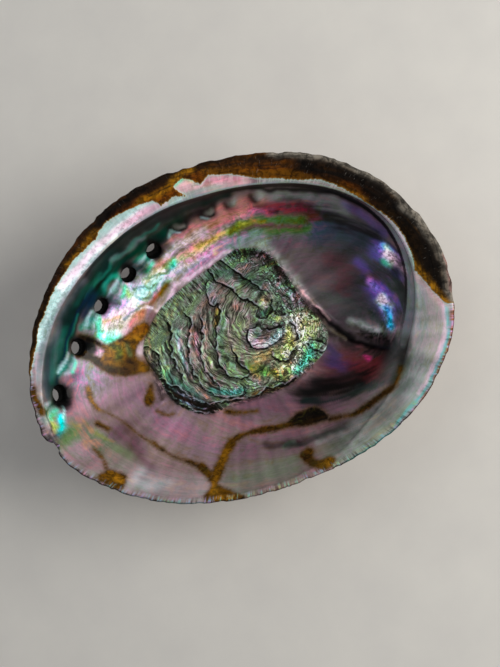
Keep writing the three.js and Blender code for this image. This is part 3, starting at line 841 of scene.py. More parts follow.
SCAR_STROKES = [
    ("pewter", 14, 0.6, [(172, 312), (160, 335), (165, 360)]),
    ("sage", 15, 0.9, [(216, 272), (240, 262), (262, 275), (282, 298)]),
    ("jade", 6, 0.7, [(214, 276), (232, 272), (256, 284)]),
    ("char", 5, 0.8, [(236, 252), (256, 250), (272, 258), (284, 275), (296, 294), (316, 318)]),
    ("bark", 4, 0.6, [(262, 257), (275, 268)]),
    ("ash", 9, 0.6, [(205, 286), (186, 300), (168, 318)]),
    ("mist", 5, 0.6, [(208, 288), (213, 300)]),
    ("tan", 12, 0.7, [(226, 300), (238, 320), (232, 345), (250, 362)]),
    # Painted shade beside a raised layer.
    ("umber", 4, 0.8, [(196, 326), (194, 348)]),
    ("tan", 5, 0.8, [(206, 330), (203, 352), (212, 374)]),
    ("gold", 2.5, 0.7, [(217, 310), (216, 326)]),
    ("blush", 2.2, 0.6, [(196, 334), (198, 354), (207, 376)]),
    ("blush", 2.5, 0.6, [(228, 318), (230, 345), (242, 366)]),
    ("blush", 3, 0.5, [(244, 312), (250, 318), (246, 326)]),
    ("mist", 2.2, 0.6, [(178, 330), (180, 352), (188, 374)]),
    ("jade", 6, 0.6, [(224, 318), (226, 345), (234, 362)]),
    ("sea", 5, 0.45, [(164, 374), (180, 386), (196, 396)]),
    ("sea", 4, 0.7, [(212, 391), (230, 395), (243, 391)]),
    ("leaf", 8, 0.8, [(248, 368), (265, 372), (285, 376)]),
    # Painted highlights: bright glints at the scar's right.
    ("straw", 12, 0.95, [(304, 325), (298, 345), (292, 360)]),
    ("cream", 8, 0.85, [(296, 324), (303, 342), (298, 358)]),
    ("lime", 4, 0.7, [(288, 330), (290, 346)]),
    ("mint", 5, 0.9, [(312, 346), (306, 360), (298, 370)]),
    ("straw", 7, 0.6, [(258, 357), (276, 352)]),
    ("ash", 6, 0.7, [(290, 310), (296, 300)]),
    # Painted highlights on the curl.
    ("white pink", 4, 0.9, [(250, 330), (250, 340), (260, 346)]),
    ("ice", 3.5, 0.9, [(266, 345), (277, 338), (281, 331)]),
    ("pewter", 3, 0.8, [(256, 334), (264, 338)]),
    ("blush", 4, 0.9, [(264, 303), (269, 297)]),
    ("jade", 4, 0.8, [(260, 313), (268, 312)]),
    ("straw", 3, 0.9, [(271, 314), (278, 319)]),
    ("tan", 5, 0.8, [(248, 306), (254, 305)]),
    ("char", 9, 1.0, [(164, 388), (176, 398), (192, 405), (212, 409)]),
    ("bark", 3, 0.8, [(172, 396), (186, 403), (204, 409)]),
    ("ice", 1.2, 0.6, [(166, 383), (176, 391), (188, 398), (204, 402)]),
    ("mist", 1.1, 0.5, [(164, 390), (174, 399), (188, 405), (206, 409)]),
    ("copper", 3, 0.8, [(254, 395), (270, 389), (286, 388)]),
    ("blush", 2.5, 0.7, [(150, 355), (153, 372), (158, 388)]),
]
SHELF_STROKES = [
    ("silver", 36, 1.0, [(420, 290), (430, 340), (410, 395), (370, 435)]),
    ("blush", 16, 0.3, [(430, 300), (434, 345)]),
    # The mist, ice and white pink strokes on the left shelf are partly a painted reflection of the light,
    # and glow a little.
    ("mist", 5, 0.9, [(34, 378), (42, 340), (52, 312)]),
    ("ice", 4, 0.9, [(31, 375), (36, 345), (42, 322)]),
    ("ice", 9, 1.0, [(46, 316), (54, 301), (75, 270), (100, 246), (132, 220)]),
    ("rose", 3, 0.4, [(33, 372), (37, 356)]),
    ("ice", 5, 0.9, [(62, 276), (84, 250), (104, 228), (130, 210), (152, 203)]),
    ("white pink", 4, 0.8, [(62, 286), (86, 257), (112, 233), (142, 212), (165, 203)]),
    ("ice", 3, 0.8, [(70, 290), (92, 264), (118, 240), (150, 217), (180, 200)]),
    ("mist", 4, 0.8, [(45, 362), (58, 318), (78, 284), (106, 253), (138, 228), (180, 206)]),
    ("dusk", 5.5, 0.8, [(44, 388), (46, 364), (54, 332), (66, 304), (82, 280)]),
    ("slate", 3.5, 0.7, [(47, 384), (51, 345), (62, 314), (78, 288)]),
    ("rose", 4, 0.3, [(125, 224), (150, 209), (165, 205)]),
    ("blush", 7, 0.9, [(178, 188), (200, 186), (225, 180), (252, 181)]),
    ("mint", 3, 0.8, [(175, 184), (183, 176)]),
    ("lime", 3, 0.7, [(184, 176), (192, 180)]),
    ("rose", 4, 0.6, [(206, 182), (224, 178), (240, 179)]),
    ("dusk", 7, 0.9, [(256, 183), (300, 183), (340, 192), (380, 215), (405, 243)]),
    ("mist", 2, 0.8, [(190, 196), (256, 186), (300, 186), (340, 195), (380, 218)]),
    ("blush", 2, 0.5, [(300, 181), (340, 189), (364, 203)]),
    ("white pink", 4, 0.7, [(386, 218), (402, 238), (412, 258)]),
    ("mint", 2.5, 0.6, [(410, 250), (415, 262)]),
    ("blush", 5, 0.7, [(418, 274), (430, 290), (442, 303)]),
    ("mist", 8, 0.5, [(418, 296), (416, 330)]),
    # Painted shade along the shelf's inner edge at the lower right.
    ("pewter", 10, 0.8, [(405, 348), (402, 378), (386, 406), (365, 428)]),
    ("umber", 5, 0.7, [(408, 340), (403, 362), (394, 384)]),
    ("sage", 12, 0.6, [(398, 412), (372, 438)]),
    ("copper", 3, 0.8, [(453, 312), (452, 337), (442, 368), (425, 398)]),
    ("white pink", 2, 0.9, [(444, 305), (446, 335), (436, 364), (419, 393)]),
    ("cyan", 1.5, 0.5, [(447, 308), (449, 336), (439, 366), (422, 396), (398, 422)]),
    ("lilac", 6, 0.7, [(36, 372), (34, 386)]),
]
HORN_STROKES = [
    ("copper", 16, 1.0, [(60, 285), (100, 225), (150, 192), (200, 172), (260, 166), (320, 176),
                         (365, 197)]),
    ("char", 5, 0.9, [(32, 345), (40, 312), (58, 272), (80, 240), (105, 213)]),
    ("bark", 6, 0.6, [(52, 290), (75, 258), (96, 234)]),
    ("char", 8, 0.95, [(100, 220), (112, 208), (130, 199)]),
    ("char", 5, 0.9, [(96, 222), (120, 202), (150, 187), (178, 174)]),
    ("bark", 5, 0.7, [(135, 196), (165, 179), (205, 166)]),
    ("char", 4.5, 0.9, [(130, 192), (165, 174), (205, 162), (250, 157), (290, 157)]),
    ("honey", 4, 0.8, [(140, 203), (152, 196), (168, 188), (176, 176), (190, 168)]),
    ("honey", 4, 0.6, [(66, 266), (88, 240), (94, 232)]),
    ("amber", 8, 0.8, [(210, 172), (255, 169), (300, 173), (335, 184)]),
    ("bark", 3, 0.7, [(215, 166), (255, 163), (290, 166), (320, 172)]),
    ("honey", 4, 0.7, [(345, 190), (366, 199)]),
    ("char", 10, 1.0, [(300, 161), (340, 170), (375, 187), (405, 212), (425, 240), (438, 270), (444, 297)]),
    ("char", 9, 0.9, [(372, 196), (398, 222), (418, 248), (430, 274)]),
    ("ash", 3.5, 1.0, [(270, 153), (300, 153), (340, 160), (380, 178), (412, 205), (433, 232), (449, 262),
                       (455, 300)]),
    ("ash", 4, 0.55, [(402, 202), (422, 224), (438, 250), (447, 272), (451, 298)]),
    ("crimson", 2, 0.5, [(446, 256), (450, 272), (453, 290)]),
    ("honey", 4, 0.95, [(414, 266), (428, 284), (447, 302)]),
    ("honey", 9, 0.9, [(108, 351), (124, 343), (142, 330)]),
    ("honey", 6, 0.6, [(104, 362), (122, 362), (140, 366)]),
    ("copper", 4, 0.7, [(126, 336), (146, 326)]),
    ("leaf", 3.5, 0.7, [(112, 346), (120, 350), (118, 358)]),
    ("moss", 3, 0.6, [(126, 346), (130, 356)]),
    ("char", 2, 0.8, [(120, 341), (128, 344), (134, 342)]),
    ("char", 2, 0.7, [(114, 360), (122, 358)]),
    ("bark", 3.5, 0.8, [(108, 366), (122, 370), (136, 370)]),
    ("bark", 5.5, 0.9, [(129, 363), (137, 365)]),
    ("char", 4, 0.9, [(75, 353), (90, 357), (100, 364)]),
    ("char", 4, 0.9, [(78, 336), (90, 339), (100, 345)]),
    ("bark", 4, 0.7, [(100, 365), (112, 371), (128, 374)]),
    # Painted shade on the stain beside the fourth open hole.
    ("ink", 8, 0.95, [(72, 345), (86, 346)]),
    ("char", 12, 1.0, [(298, 419), (314, 413), (325, 414)]),
    ("bark", 3, 0.7, [(332, 418), (360, 410), (395, 386)]),
    ("bark", 2.5, 0.6, [(232, 442), (250, 433), (285, 426)]),
    ("bark", 2.5, 0.7, [(160, 449), (185, 461), (205, 469)]),
    ("bark", 2.5, 0.8, [(98, 424), (108, 429)]),
    ("honey", 3, 0.7, [(88, 388), (92, 402), (100, 410)]),
    ("bark", 5, 0.7, [(304, 455), (312, 462)]),
    ("honey", 4, 0.6, [(324, 466), (332, 460)]),
    ("honey", 4, 0.25, [(229, 445), (222, 462), (214, 480)]),
    ("honey", 4, 0.7, [(212, 486), (216, 496), (232, 497)]),
    ("honey", 4, 0.7, [(112, 474), (120, 480)]),
]
LIP_STROKES = [
    ("ash", 6, 0.9, [(300, 155), (340, 161), (380, 178), (412, 205), (432, 232), (448, 264)]),
    ("crimson", 4, 0.8, [(449, 262), (454, 280)]),
    ("copper", 4, 0.7, [(455, 310), (454, 335), (442, 368), (424, 400)]),
    ("cyan", 2, 0.3, [(400, 426), (374, 447), (347, 463)]),
    # A painted highlight along the lower lip.
    ("ice", 3, 0.7, [(130, 494), (173, 502), (204, 503)]),
    ("blush", 3, 0.6, [(246, 497), (292, 485), (330, 470)]),
    ("ash", 5, 0.7, [(32, 420), (36, 436), (44, 446)]),
    ("bark", 3, 0.8, [(36, 440), (42, 444), (48, 446)]),
]
PLAY_STROKES = [  # width, strength and line where the pearl plays in many colours
    (20, 1.0, [(85, 380), (100, 340), (125, 305), (160, 275), (205, 242), (250, 224), (310, 220)]),
    (20, 0.45, [(60, 425), (95, 440)]),
    (16, 0.4, [(380, 255), (385, 290), (390, 325)]),
    (30, 0.15, [(160, 430), (220, 440), (260, 440)]),
]
GLINT_STROKES = [  # width, strength and line of the painted highlights, which glow a little
    (7, 1.0, [(384, 247), (391, 260)]),
    (4, 0.6, [(396, 264), (404, 270)]),
    (3, 0.6, [(371, 281), (378, 290)]),
    (6, 1.0, [(384, 299), (390, 312), (391, 326)]),
    (5, 0.3, [(350, 321), (374, 328)]),
    (2, 0.9, [(364, 357), (367, 359)]),
    (16, 0.7, [(108, 326), (130, 303), (160, 277), (195, 251)]),
    (7, 0.6, [(195, 251), (225, 232), (250, 214)]),
    (3, 0.9, [(97, 334), (112, 341)]),
    (4, 0.8, [(63, 416), (61, 434)]),
    (4, 0.5, [(50, 416), (54, 428)]),
    (15, 1.0, [(292, 322), (302, 345), (292, 364)]),
    (5, 0.5, [(250, 334), (262, 346), (280, 334)]),
    (5, 0.5, [(262, 246), (278, 260), (292, 280), (306, 298)]),
    (2, 0.8, [(296, 284), (310, 298), (320, 310)]),
    (6, 0.8, [(40, 340), (52, 308), (74, 274), (104, 242), (138, 214)]),
    (4, 0.4, [(184, 184), (206, 184), (228, 180)]),
]
STEP_STROKES = [  # width, strength and line where the scar's lower left steps down in dark layers
    (6, 1.0, [(165, 389), (177, 399), (193, 406), (212, 410)]),
    (3, 0.8, [(146, 352), (152, 366), (158, 384), (162, 400)]),
    (2.5, 0.8, [(216, 408), (232, 404), (250, 400), (270, 392), (290, 384), (312, 366)]),
    (4, 0.7, [(236, 252), (256, 250), (272, 258), (286, 276), (298, 294), (316, 314)]),
]
WILD_STROKES = [  # width, strength and line where the scar is crinkled
    (34, 1.0, [(300, 290), (300, 330), (300, 365)]),
    (14, 0.9, [(236, 254), (262, 256), (284, 280)]),
    (14, 0.6, [(262, 312), (278, 318)]),
    (9, 0.6, [(230, 392), (280, 380)]),
]

# How the strokes are laid on, and where one part's colours pass into the next.
STROKE_EDGE = 2.5  # 2 is a plain bell, and more makes the edge steeper
STROKE_REACH = 3  # in widths, past which a stroke leaves nothing
WAVER = 2.5
FINE_WAVER = 1.0
HORN_WAVER = 1.5
WAVER_SIZE = 6.0
BROAD_STROKE = 6  # width from which a stroke ends in streaks
STREAK_REACH = 8.0
STREAK_SIZE = 2.2
SPIRE_SPOT = (387, 327)  # the spire's apex in the frame
SCAR_BORDER = (-0.3, 0.3)
SHELF_BORDER = 0.3
SHELF_COMES_IN = (2.0, 5.0)
LIP_BORDER = (-0.9, -0.3)
BEAD_BEARING = 62
BEAD_REACH = (62, 98)  # degrees to either side
HATCH_REACH = (10, 20)
HATCH_STRETCH = 0.15
RIM_GRAIN_STRETCH = 0.15
LAYER_STRETCH = 0.1

# The finishes' numbers on the mesh, and the two discs of the bake map: middle and radius.
LINING_SLOT, RIND_SLOT, HOLE_SLOT = 0, 1, 2
MAP_REACH = 84.0
LINING_DISC = ((0.5, 0.64), 0.45)
LINING_SHARES = (0.82, 0.16, 0.02)  # of the radius: bowl, shelf and lip
RIND_DISC = ((0.2, 0.145), 0.18)
RIND_SHARE = 0.98


def linear(colour):
    """A colour of 0 to 255 steps, as light."""
    share = np.array(colour) / 255
    return np.where(share <= 0.04045, share / 12.92, ((share + 0.055) / 1.055) ** 2.4)


def stroke_cover(u, v, width, strength, line):
    """Which points a stroke comes near, and how far it covers those."""
    across, down = np.array(line).T
    reach = STROKE_REACH * width
    near = (u > across.min() - reach) & (u < across.max() + reach)
    near &= (v > down.min() - reach) & (v < down.max() + reach)
    distance = from_line(u[near], v[near], rounded(line))[0]
    return near, strength * np.exp(-((distance / width) ** STROKE_EDGE))


def wavering(marks, waver):
    """The points' places in the frame, moved a little so that strokes laid there waver."""
    u = marks.u + waver * rough_noise(marks.flat, WAVER_SIZE, seed=61)
    v = marks.v + waver * rough_noise(marks.flat, WAVER_SIZE, seed=71)
    return u, v


def streaked(marks, u, v):
    """Places drawn out into streaks that run round the spire with the growth."""
    off_u, off_v = marks.u - SPIRE_SPOT[0], marks.v - SPIRE_SPOT[1]
    shift = STREAK_REACH * rough_noise(marks.whorl, STREAK_SIZE, seed=65)
    shift = shift / np.maximum(np.hypot(off_u, off_v), 1)
    return u + off_u * shift, v + off_v * shift


def paint(marks, strokes, start, waver):
    """Colour of every point after soft strokes, one over the other. Broad ones end in streaks."""
    fine = wavering(marks, waver)
    broad = streaked(marks, *fine)
    colour = np.tile(linear(COLOURS[start]), (len(marks.u), 1))
    for name, *stroke in strokes:
        u, v = broad if stroke[0] >= BROAD_STROKE else fine
        near, cover = stroke_cover(u, v, *stroke)
        colour[near] += (linear(COLOURS[name]) - colour[near]) * cover[:, None]
    return colour


def covered(marks, strokes, waver=WAVER):
    """How far soft strokes cover every point, from 0 to 1."""
    u, v = wavering(marks, waver)
    bare = np.ones(len(u))
    for stroke in strokes:
        near, cover = stroke_cover(u, v, *stroke)
        bare[near] *= 1 - cover
    return 1 - bare


def hole_arc(u, v):
    """The line of the painted highlight arc that leads on from an open hole."""
    return [(u - 1, v + 11), (u - 8, v + 17), (u - 13, v + 24)]


def open_hole_strokes(u, v, reach):
    """The painted shade on the dark side of an open hole, its painted highlight arc and the fan of painted
    highlight lines over that.
    """
    strokes = [
        ("deep teal", 7, 0.8, [(u + 4, v - 9), (u + 16, v - 4)]),
        ("sea", 4, 0.5, hole_arc(u, v)),
    ]
    for shift in (-4, 2, 7):
        top = v + shift
        off = abs(shift - 1)
        strokes.append(("ink", 5.0, 1.0, [(u + 2, top), (u + reach - off / 2, top + 1)]))
        strokes.append(("ink", 4.6, 0.9, [(u + 2, top + 1), (u + reach - off, top + 2)]))
    strokes.append(("mint", 2.5, 0.8, [(u + 2, v + 16), (u - 3, v + 24)]))
    for name, shift in (("ice", -4), ("deep teal", 0), ("mist", 4)):
        side = u + shift
        top = v + shift / 2
        strokes.append((name, 1.8, 0.55, [(side - 3, top + 10), (side - 12, top + 26)]))
    return strokes


def row_strokes():
    """The strokes round every hole of the row, painted shade and highlights: the open ones, the younger
    closed ones and the oldest.
    """
    strokes = []
    for (u, v), reach in zip(OPEN_HOLES, HOLE_SHADES):
        strokes += open_hole_strokes(u, v, reach)
    for u, v in CLOSED_HOLES[:2]:
        strokes.append(("ink", 5.5, 0.95, [(u - 6, v + 2), (u + 4, v - 2)]))
        strokes.append(("ash", 2.8, 0.8, [(u - 2, v - 1), (u + 4, v - 3)]))
        strokes.append(("ink", 1.5, 0.8, [(u + 1, v + 1), (u + 6, v)]))
        # A painted highlight below the knob at the left.
        strokes.append(("ice", 1.8, 0.8, [(u - 6, v + 5), (u - 1, v + 5)]))
    for u, v in CLOSED_HOLES[2:]:
        strokes.append(("silver", 3, 0.8, [(u - 3, v + 1), (u + 2, v - 3)]))
        strokes.append(("ink", 3, 0.8, [(u - 7, v + 1), (u - 5, v + 4)]))
    return strokes


def past_shelf_edge(skin):
    """How far out from the shelf's inner edge each point lies, in the plan."""
    return np.linalg.norm(skin.plan, axis=1) - (skin.rim - LIP_THICKNESS / 2 - skin.shelf)


def beaded(skin):
    """How clearly the shelf's inner edge carries a bead: round the top, fading at both ends."""
    off = np.abs((skin.bearing - BEAD_BEARING + 180) % 360 - 180)
    return 1 - smoothstep(off, *BEAD_REACH)


def write(mesh, name, kind, values):
    """Stores a value for every point of the mesh."""
    field = {"FLOAT": "value", "FLOAT_VECTOR": "vector", "FLOAT_COLOR": "color"}[kind]
    mesh.attributes.new(name, kind, "POINT").data.foreach_set(field, values.astype(np.float32).ravel())


def pearl_colours(skin, marks):
    """The painted colour of the lining, with its painted highlights and shade: bowl, scar, shelf and lip,
    each passing into the next.
    """
    colour = paint(marks, BOWL_STROKES + row_strokes(), "lilac", WAVER)
    scar = paint(marks, SCAR_STROKES, "olive", FINE_WAVER)
    shelf = paint(marks, SHELF_STROKES, "silver", FINE_WAVER)
    lip = paint(marks, LIP_STROKES, "bark", FINE_WAVER)
    in_scar = smoothstep(-marks.scar, *SCAR_BORDER)
    soft = SHELF_BORDER + SOFT_EDGE * bell(skin.bearing - SOFT_EDGE_BEARING, SOFT_PAINT_SPAN)
    on_shelf = smoothstep(past_shelf_edge(skin), -soft, soft + 0.2)
    on_shelf = on_shelf * smoothstep(skin.shelf, *SHELF_COMES_IN)
    at_lip = smoothstep(-marks.to_rim, *LIP_BORDER)
    for cover, over in ((in_scar, scar), (on_shelf, shelf), (at_lip, lip)):
        colour = colour + (over - colour) * cover[:, None]
    return colour


def scar_grain(marks):
    """Coordinates along which the scar's layers run: round its focus, but hatched at its upper left."""
    layered = np.column_stack([marks.terrace, marks.flat * LAYER_STRETCH])
    start, end = np.array(HATCH_BORDER)
    along = (end - start) / np.linalg.norm(end - start)
    across = np.array([along[1], -along[0]]) * HATCH_STRETCH
    hatched = np.column_stack([marks.flat @ along, marks.flat @ across, np.zeros(len(marks.u))])
    near = 1 - smoothstep(from_line(marks.u, marks.v, HATCH_BORDER)[0], *HATCH_REACH)
    return layered + (hatched - layered) * near[:, None]


def write_marks(mesh, skin, marks):
    """Stores what the finishes read."""
    # The glint field marks painted highlights, which glow a little; the arcs by the open holes are among
    # them.
    arcs = [(3, 0.5, hole_arc(u, v)) for u, v in OPEN_HOLES]
    fields = {
        "play": covered(marks, PLAY_STROKES),
        "glint": np.where(skin.on_back, 0.0, covered(marks, GLINT_STROKES + arcs)),
        "wild": 0.2 + 0.8 * covered(marks, WILD_STROKES),
        "step": covered(marks, STEP_STROKES, FINE_WAVER),
        "scar": marks.scar,
        "scar_edge": marks.edge,
        "edge_side": marks.edge_side,
        "stain": marks.stain,
        "band": marks.band,
        "bead": past_shelf_edge(skin),
        "beaded": beaded(skin),
        "to_rim": marks.to_rim,
        "rib": np.cos(2 * math.pi * marks.rib) * marks.ribbed,
        "worn": bell(marks.from_apex, WORN_REACH),
    }
    for name, values in fields.items():
        write(mesh, name, "FLOAT", values)
    opaque = np.ones((len(marks.u), 1))
    colours = {"pearl": pearl_colours(skin, marks), "horn": paint(marks, HORN_STROKES, "amber", HORN_WAVER)}
    for name, values in colours.items():
        write(mesh, name, "FLOAT_COLOR", np.hstack([values, opaque]))
    rim_grain = np.column_stack([marks.round_rim, marks.across * RIM_GRAIN_STRETCH])
    grains = {"scar_grain": scar_grain(marks), "whorl": marks.whorl, "rim_grain": rim_grain}
    for name, values in grains.items():
        write(mesh, name, "FLOAT_VECTOR", values)


def deselect_all():
    for thing in bpy.context.selected_objects:
        thing.select_set(False)


def numbers(items, name, width=1, kind=np.float32):
    """One property of many mesh items as an array."""
    values = np.zeros(len(items) * width, kind)
    items.foreach_get(name, values)
    return values.reshape(-1, width) if width > 1 else values


def slots(mesh):
    """The finish that each face has, by number."""
    return numbers(mesh.polygons, "material_index", 1, np.int32)


def put_points(mesh, points):
    mesh.vertices.foreach_set("co", (points * MM).astype(np.float32).ravel())
    mesh.update()


def choose(mesh, faces):
    """Selects some faces and nothing else."""
    for items in (mesh.vertices, mesh.edges):
        items.foreach_set("select", np.zeros(len(items), bool))
    mesh.polygons.foreach_set("select", faces)


def on_disc(skin, share, disc):
    """Places on a disc of the bake map, given by its middle and radius, at a share of the way out."""
    middle, radius = disc
    spoke = spokes(skin.bearing) * (skin.rim / MAP_REACH)[:, None]
    return np.array(middle) + radius * share[:, None] * spoke


def map_for_baking(mesh, skin):
    """Lays the lining out as one disc and the rind as another, smaller one."""
    parts = zip(LINING_SHARES, (skin.bowl_share, skin.shelf_share, skin.lip_share))
    on_lining = on_disc(skin, sum(share * part for share, part in parts), LINING_DISC)
    on_rind = on_disc(skin, 1 - skin.back_share * RIND_SHARE, RIND_DISC)
    corner = numbers(mesh.loops, "vertex_index", 1, np.int32)
    total = numbers(mesh.polygons, "loop_total", 1, np.int32)
    outer = np.repeat(slots(mesh), total)[:, None] == RIND_SLOT
    place = np.where(outer, on_rind[corner], on_lining[corner])
    mesh.uv_layers.new(name="OFBake").data.foreach_set("uv", place.astype(np.float32).ravel())


def about_axis(points, exit_spot):
    """How far points lie along a hole's axis, which leans outwards and down, and their spokes from it."""
    lean = math.radians(HOLE_LEAN_DEG)
    outwards = exit_spot * np.array([1, 1, 0])
    axis = outwards / np.linalg.norm(outwards) * math.sin(lean) - np.array([0, 0, math.cos(lean)])
    off = points - exit_spot
    along = off @ axis
    return along, off - along[:, None] * axis


def open_wall(mesh, exit_spot):
    """Takes out the faces round a hole's axis on both sides and selects the edges left."""
    along, spoke = about_axis(numbers(mesh.polygons, "center", 3) / MM, exit_spot)
    reach = np.where(slots(mesh) == LINING_SLOT, HOLE_MOUTH, HOLE_RADIUS)
    choose(mesh, (np.linalg.norm(spoke, axis=1) < reach) & (np.abs(along) < HOLE_LENGTH))
    bpy.ops.object.mode_set(mode="EDIT")
    bpy.ops.mesh.select_mode(type="FACE")
    bpy.ops.mesh.delete(type="FACE")
    bpy.ops.mesh.select_mode(type="EDGE")
    bpy.ops.mesh.select_non_manifold(
        use_wire=False, use_multi_face=False, use_non_contiguous=False, use_verts=False
    )
    bpy.ops.object.mode_set(mode="OBJECT")


def round_edges(mesh, exit_spot):
    """Draws the selected edges of a hole out to circles."""
    edge = numbers(mesh.vertices, "select", 1, bool)
    points = numbers(mesh.vertices, "co", 3) / MM
    along, spoke = about_axis(points[edge], exit_spot)
    wanted = np.where(along < along.mean(), HOLE_MOUTH, HOLE_RADIUS)
    points[edge] += spoke * (wanted / np.linalg.norm(spoke, axis=1) - 1)[:, None]
    put_points(mesh, points)


def cut_hole(shell, exit_spot):
    """Opens one hole through the wall and lines it."""
    open_wall(shell.data, exit_spot)
    round_edges(shell.data, exit_spot)
    bpy.ops.object.mode_set(mode="EDIT")
    bpy.ops.mesh.bridge_edge_loops()
    shell.active_material_index = HOLE_SLOT
    bpy.ops.object.material_slot_assign()
    bpy.ops.object.mode_set(mode="OBJECT")


def nearest_spot(skin, marks, on_part, spot):
    """The point of one part of the skin that the camera sees at a spot of the frame."""
    distance = np.where(on_part, marks.from_spot(spot), np.inf)
    return skin.points[np.argmin(distance)]


def rolled_sheet():
    """A sheet rolled into the plain shell: its side edges meet and its top and bottom close to points."""
    deselect_all()
    bpy.ops.mesh.primitive_grid_add(x_subdivisions=SEGMENTS, y_subdivisions=RINGS, size=2)
    shell = bpy.context.object
    mesh = shell.data
    flat = numbers(mesh.vertices, "co", 3).astype(float)
    ring = np.rint((1 - flat[:, 1]) / 2 * RINGS)
    bearing = np.rint((flat[:, 0] + 1) / 2 * SEGMENTS) % SEGMENTS * (360 / SEGMENTS)
    write(mesh, "ring", "FLOAT", ring)
    write(mesh, "bearing", "FLOAT", bearing)
    put_points(mesh, Skin(ring, bearing).points)
    bpy.ops.object.mode_set(mode="EDIT")
    bpy.ops.mesh.select_all(action="SELECT")
    bpy.ops.mesh.remove_doubles(threshold=MM * MM)
    bpy.ops.mesh.normals_make_consistent(inside=False)
    bpy.ops.object.mode_set(mode="OBJECT")
    ring = numbers(mesh.attributes["ring"].data, "value").astype(float)
    bearing = numbers(mesh.attributes["bearing"].data, "value").astype(float)
    return shell, Skin(ring, bearing)


def make_shell():
    """The whole shell as one piece."""
    shell, skin = rolled_sheet()
    skin.soften_edge()
    shell.name = "abalone_shell"
    mesh = shell.data
    put_points(mesh, skin.points)
    marks = Marks(skin)
    put_points(mesh, sculpt(skin, marks, numbers(mesh.vertex_normals, "vector", 3)))
    write_marks(mesh, skin, marks)
    for finish in (pearl_lining(), rind(), shaded_hole_wall()):
        mesh.materials.append(finish)
    corner = numbers(mesh.loops, "vertex_index", 1, np.int32)
    first = numbers(mesh.polygons, "loop_start", 1, np.int32)
    last_ring = np.maximum(skin.ring[corner[first]], skin.ring[corner[first + 2]])
    outer = last_ring > BOWL_RINGS + SHELF_RINGS + LIP_RINGS
    slot = np.where(outer, RIND_SLOT, LINING_SLOT)
    mesh.polygons.foreach_set("material_index", slot.astype(np.int32))
    map_for_baking(mesh, skin)
    for spot in OPEN_HOLES:
        cut_hole(shell, nearest_spot(skin, marks, skin.on_back, spot))
    bpy.ops.object.shade_smooth()
    return shell


class Socket:
    """A shader value that takes part in sums: every sum adds a Math node."""

    def __init__(self, finish, link):
        self.finish = finish
        self.link = link

    def sum(self, operation, first, second=0.0):
        return self.finish.node("ShaderNodeMath", {"operation": operation}, {0: first, 1: second})

    def __add__(self, other):
        return self.sum("ADD", self, other)

    def __sub__(self, other):
        return self.sum("SUBTRACT", self, other)

    def __rsub__(self, other):
        return self.sum("SUBTRACT", other, self)

    def __mul__(self, other):
        return self.sum("MULTIPLY", self, other)

    def __mod__(self, other):
        return self.sum("FLOORED_MODULO", self, other)

    __radd__ = __add__
    __rmul__ = __mul__

    def __abs__(self):
        return self.sum("ABSOLUTE", self)

    def rise(self, low, high):
        """0 below low, 1 above high, with a smooth rise between. It falls where low is above high."""
        if low > high:
            return 1 - self.rise(high, low)
        sockets = {"Value": self, "From Min": low, "From Max": high}
        return self.finish.node("ShaderNodeMapRange", {"interpolation_type": "SMOOTHSTEP"}, sockets)


class Finish:
    """One material and the one way in which its nodes are added."""

    def __init__(self, name):
        self.material = bpy.data.materials.new(name)
        self.material.use_nodes = True
        self.tree = self.material.node_tree
        self.tree.nodes.clear()

    def node(self, kind, settings=None, sockets=None, out=0):
        """Adds a node, sets it up, fills or links its sockets and gives one of its outputs."""
        made = self.tree.nodes.new(kind)
        for name, value in (settings or {}).items():
            if name == "stops":
                self.set_stops(made.color_ramp, value)
            else:
                setattr(made, name, value)
        for name, value in (sockets or {}).items():
            if isinstance(value, Socket):
                self.tree.links.new(value.link, made.inputs[name])
            else:
                made.inputs[name].default_value = value
        return Socket(self, made.outputs[out]) if made.outputs else None

    def set_stops(self, ramp, stops):
        """A ramp's stops of (place, colour)."""
        while len(ramp.elements) < len(stops):
            ramp.elements.new(1.0)
        for element, (place, colour) in zip(ramp.elements, stops):
            element.position = place
            element.color = (*linear(colour), 1)

    def attribute(self, name, out="Fac"):
        return self.node("ShaderNodeAttribute", {"attribute_name": name}, None, out)

    def noise(self, vector, scale, detail=3.0, roughness=0.55, distortion=0.0):
        sockets = {"Vector": vector, "Scale": scale, "Detail": detail, "Roughness": roughness}
        return self.node("ShaderNodeTexNoise", {}, {**sockets, "Distortion": distortion})

    def mix(self, factor, first, second, blend="MIX"):
        """One colour over another."""
        settings = {"data_type": "RGBA", "blend_type": blend}
        return self.node("ShaderNodeMix", settings, {0: factor, 6: first, 7: second}, 2)

    def ramp(self, value, stops):
        return self.node("ShaderNodeValToRGB", {"stops": stops}, {"Fac": value})

    def bump(self, strength, height):
        """Heights in millimetres, as a bent normal."""
        sockets = {"Strength": strength, "Distance": MM, "Height": height}
        return self.node("ShaderNodeBump", {}, sockets, "Normal")

    def places(self):
        """Every point's place in the object, in metres."""
        return self.node("ShaderNodeTexCoord", {}, None, "Object")

    def shade(self, constants, linked):
        """Ends the material in one surface shader."""
        surface = self.node("ShaderNodeBsdfPrincipled", {}, {**constants, **linked})
        self.node("ShaderNodeOutputMaterial", {}, {"Surface": surface})
        return self.material


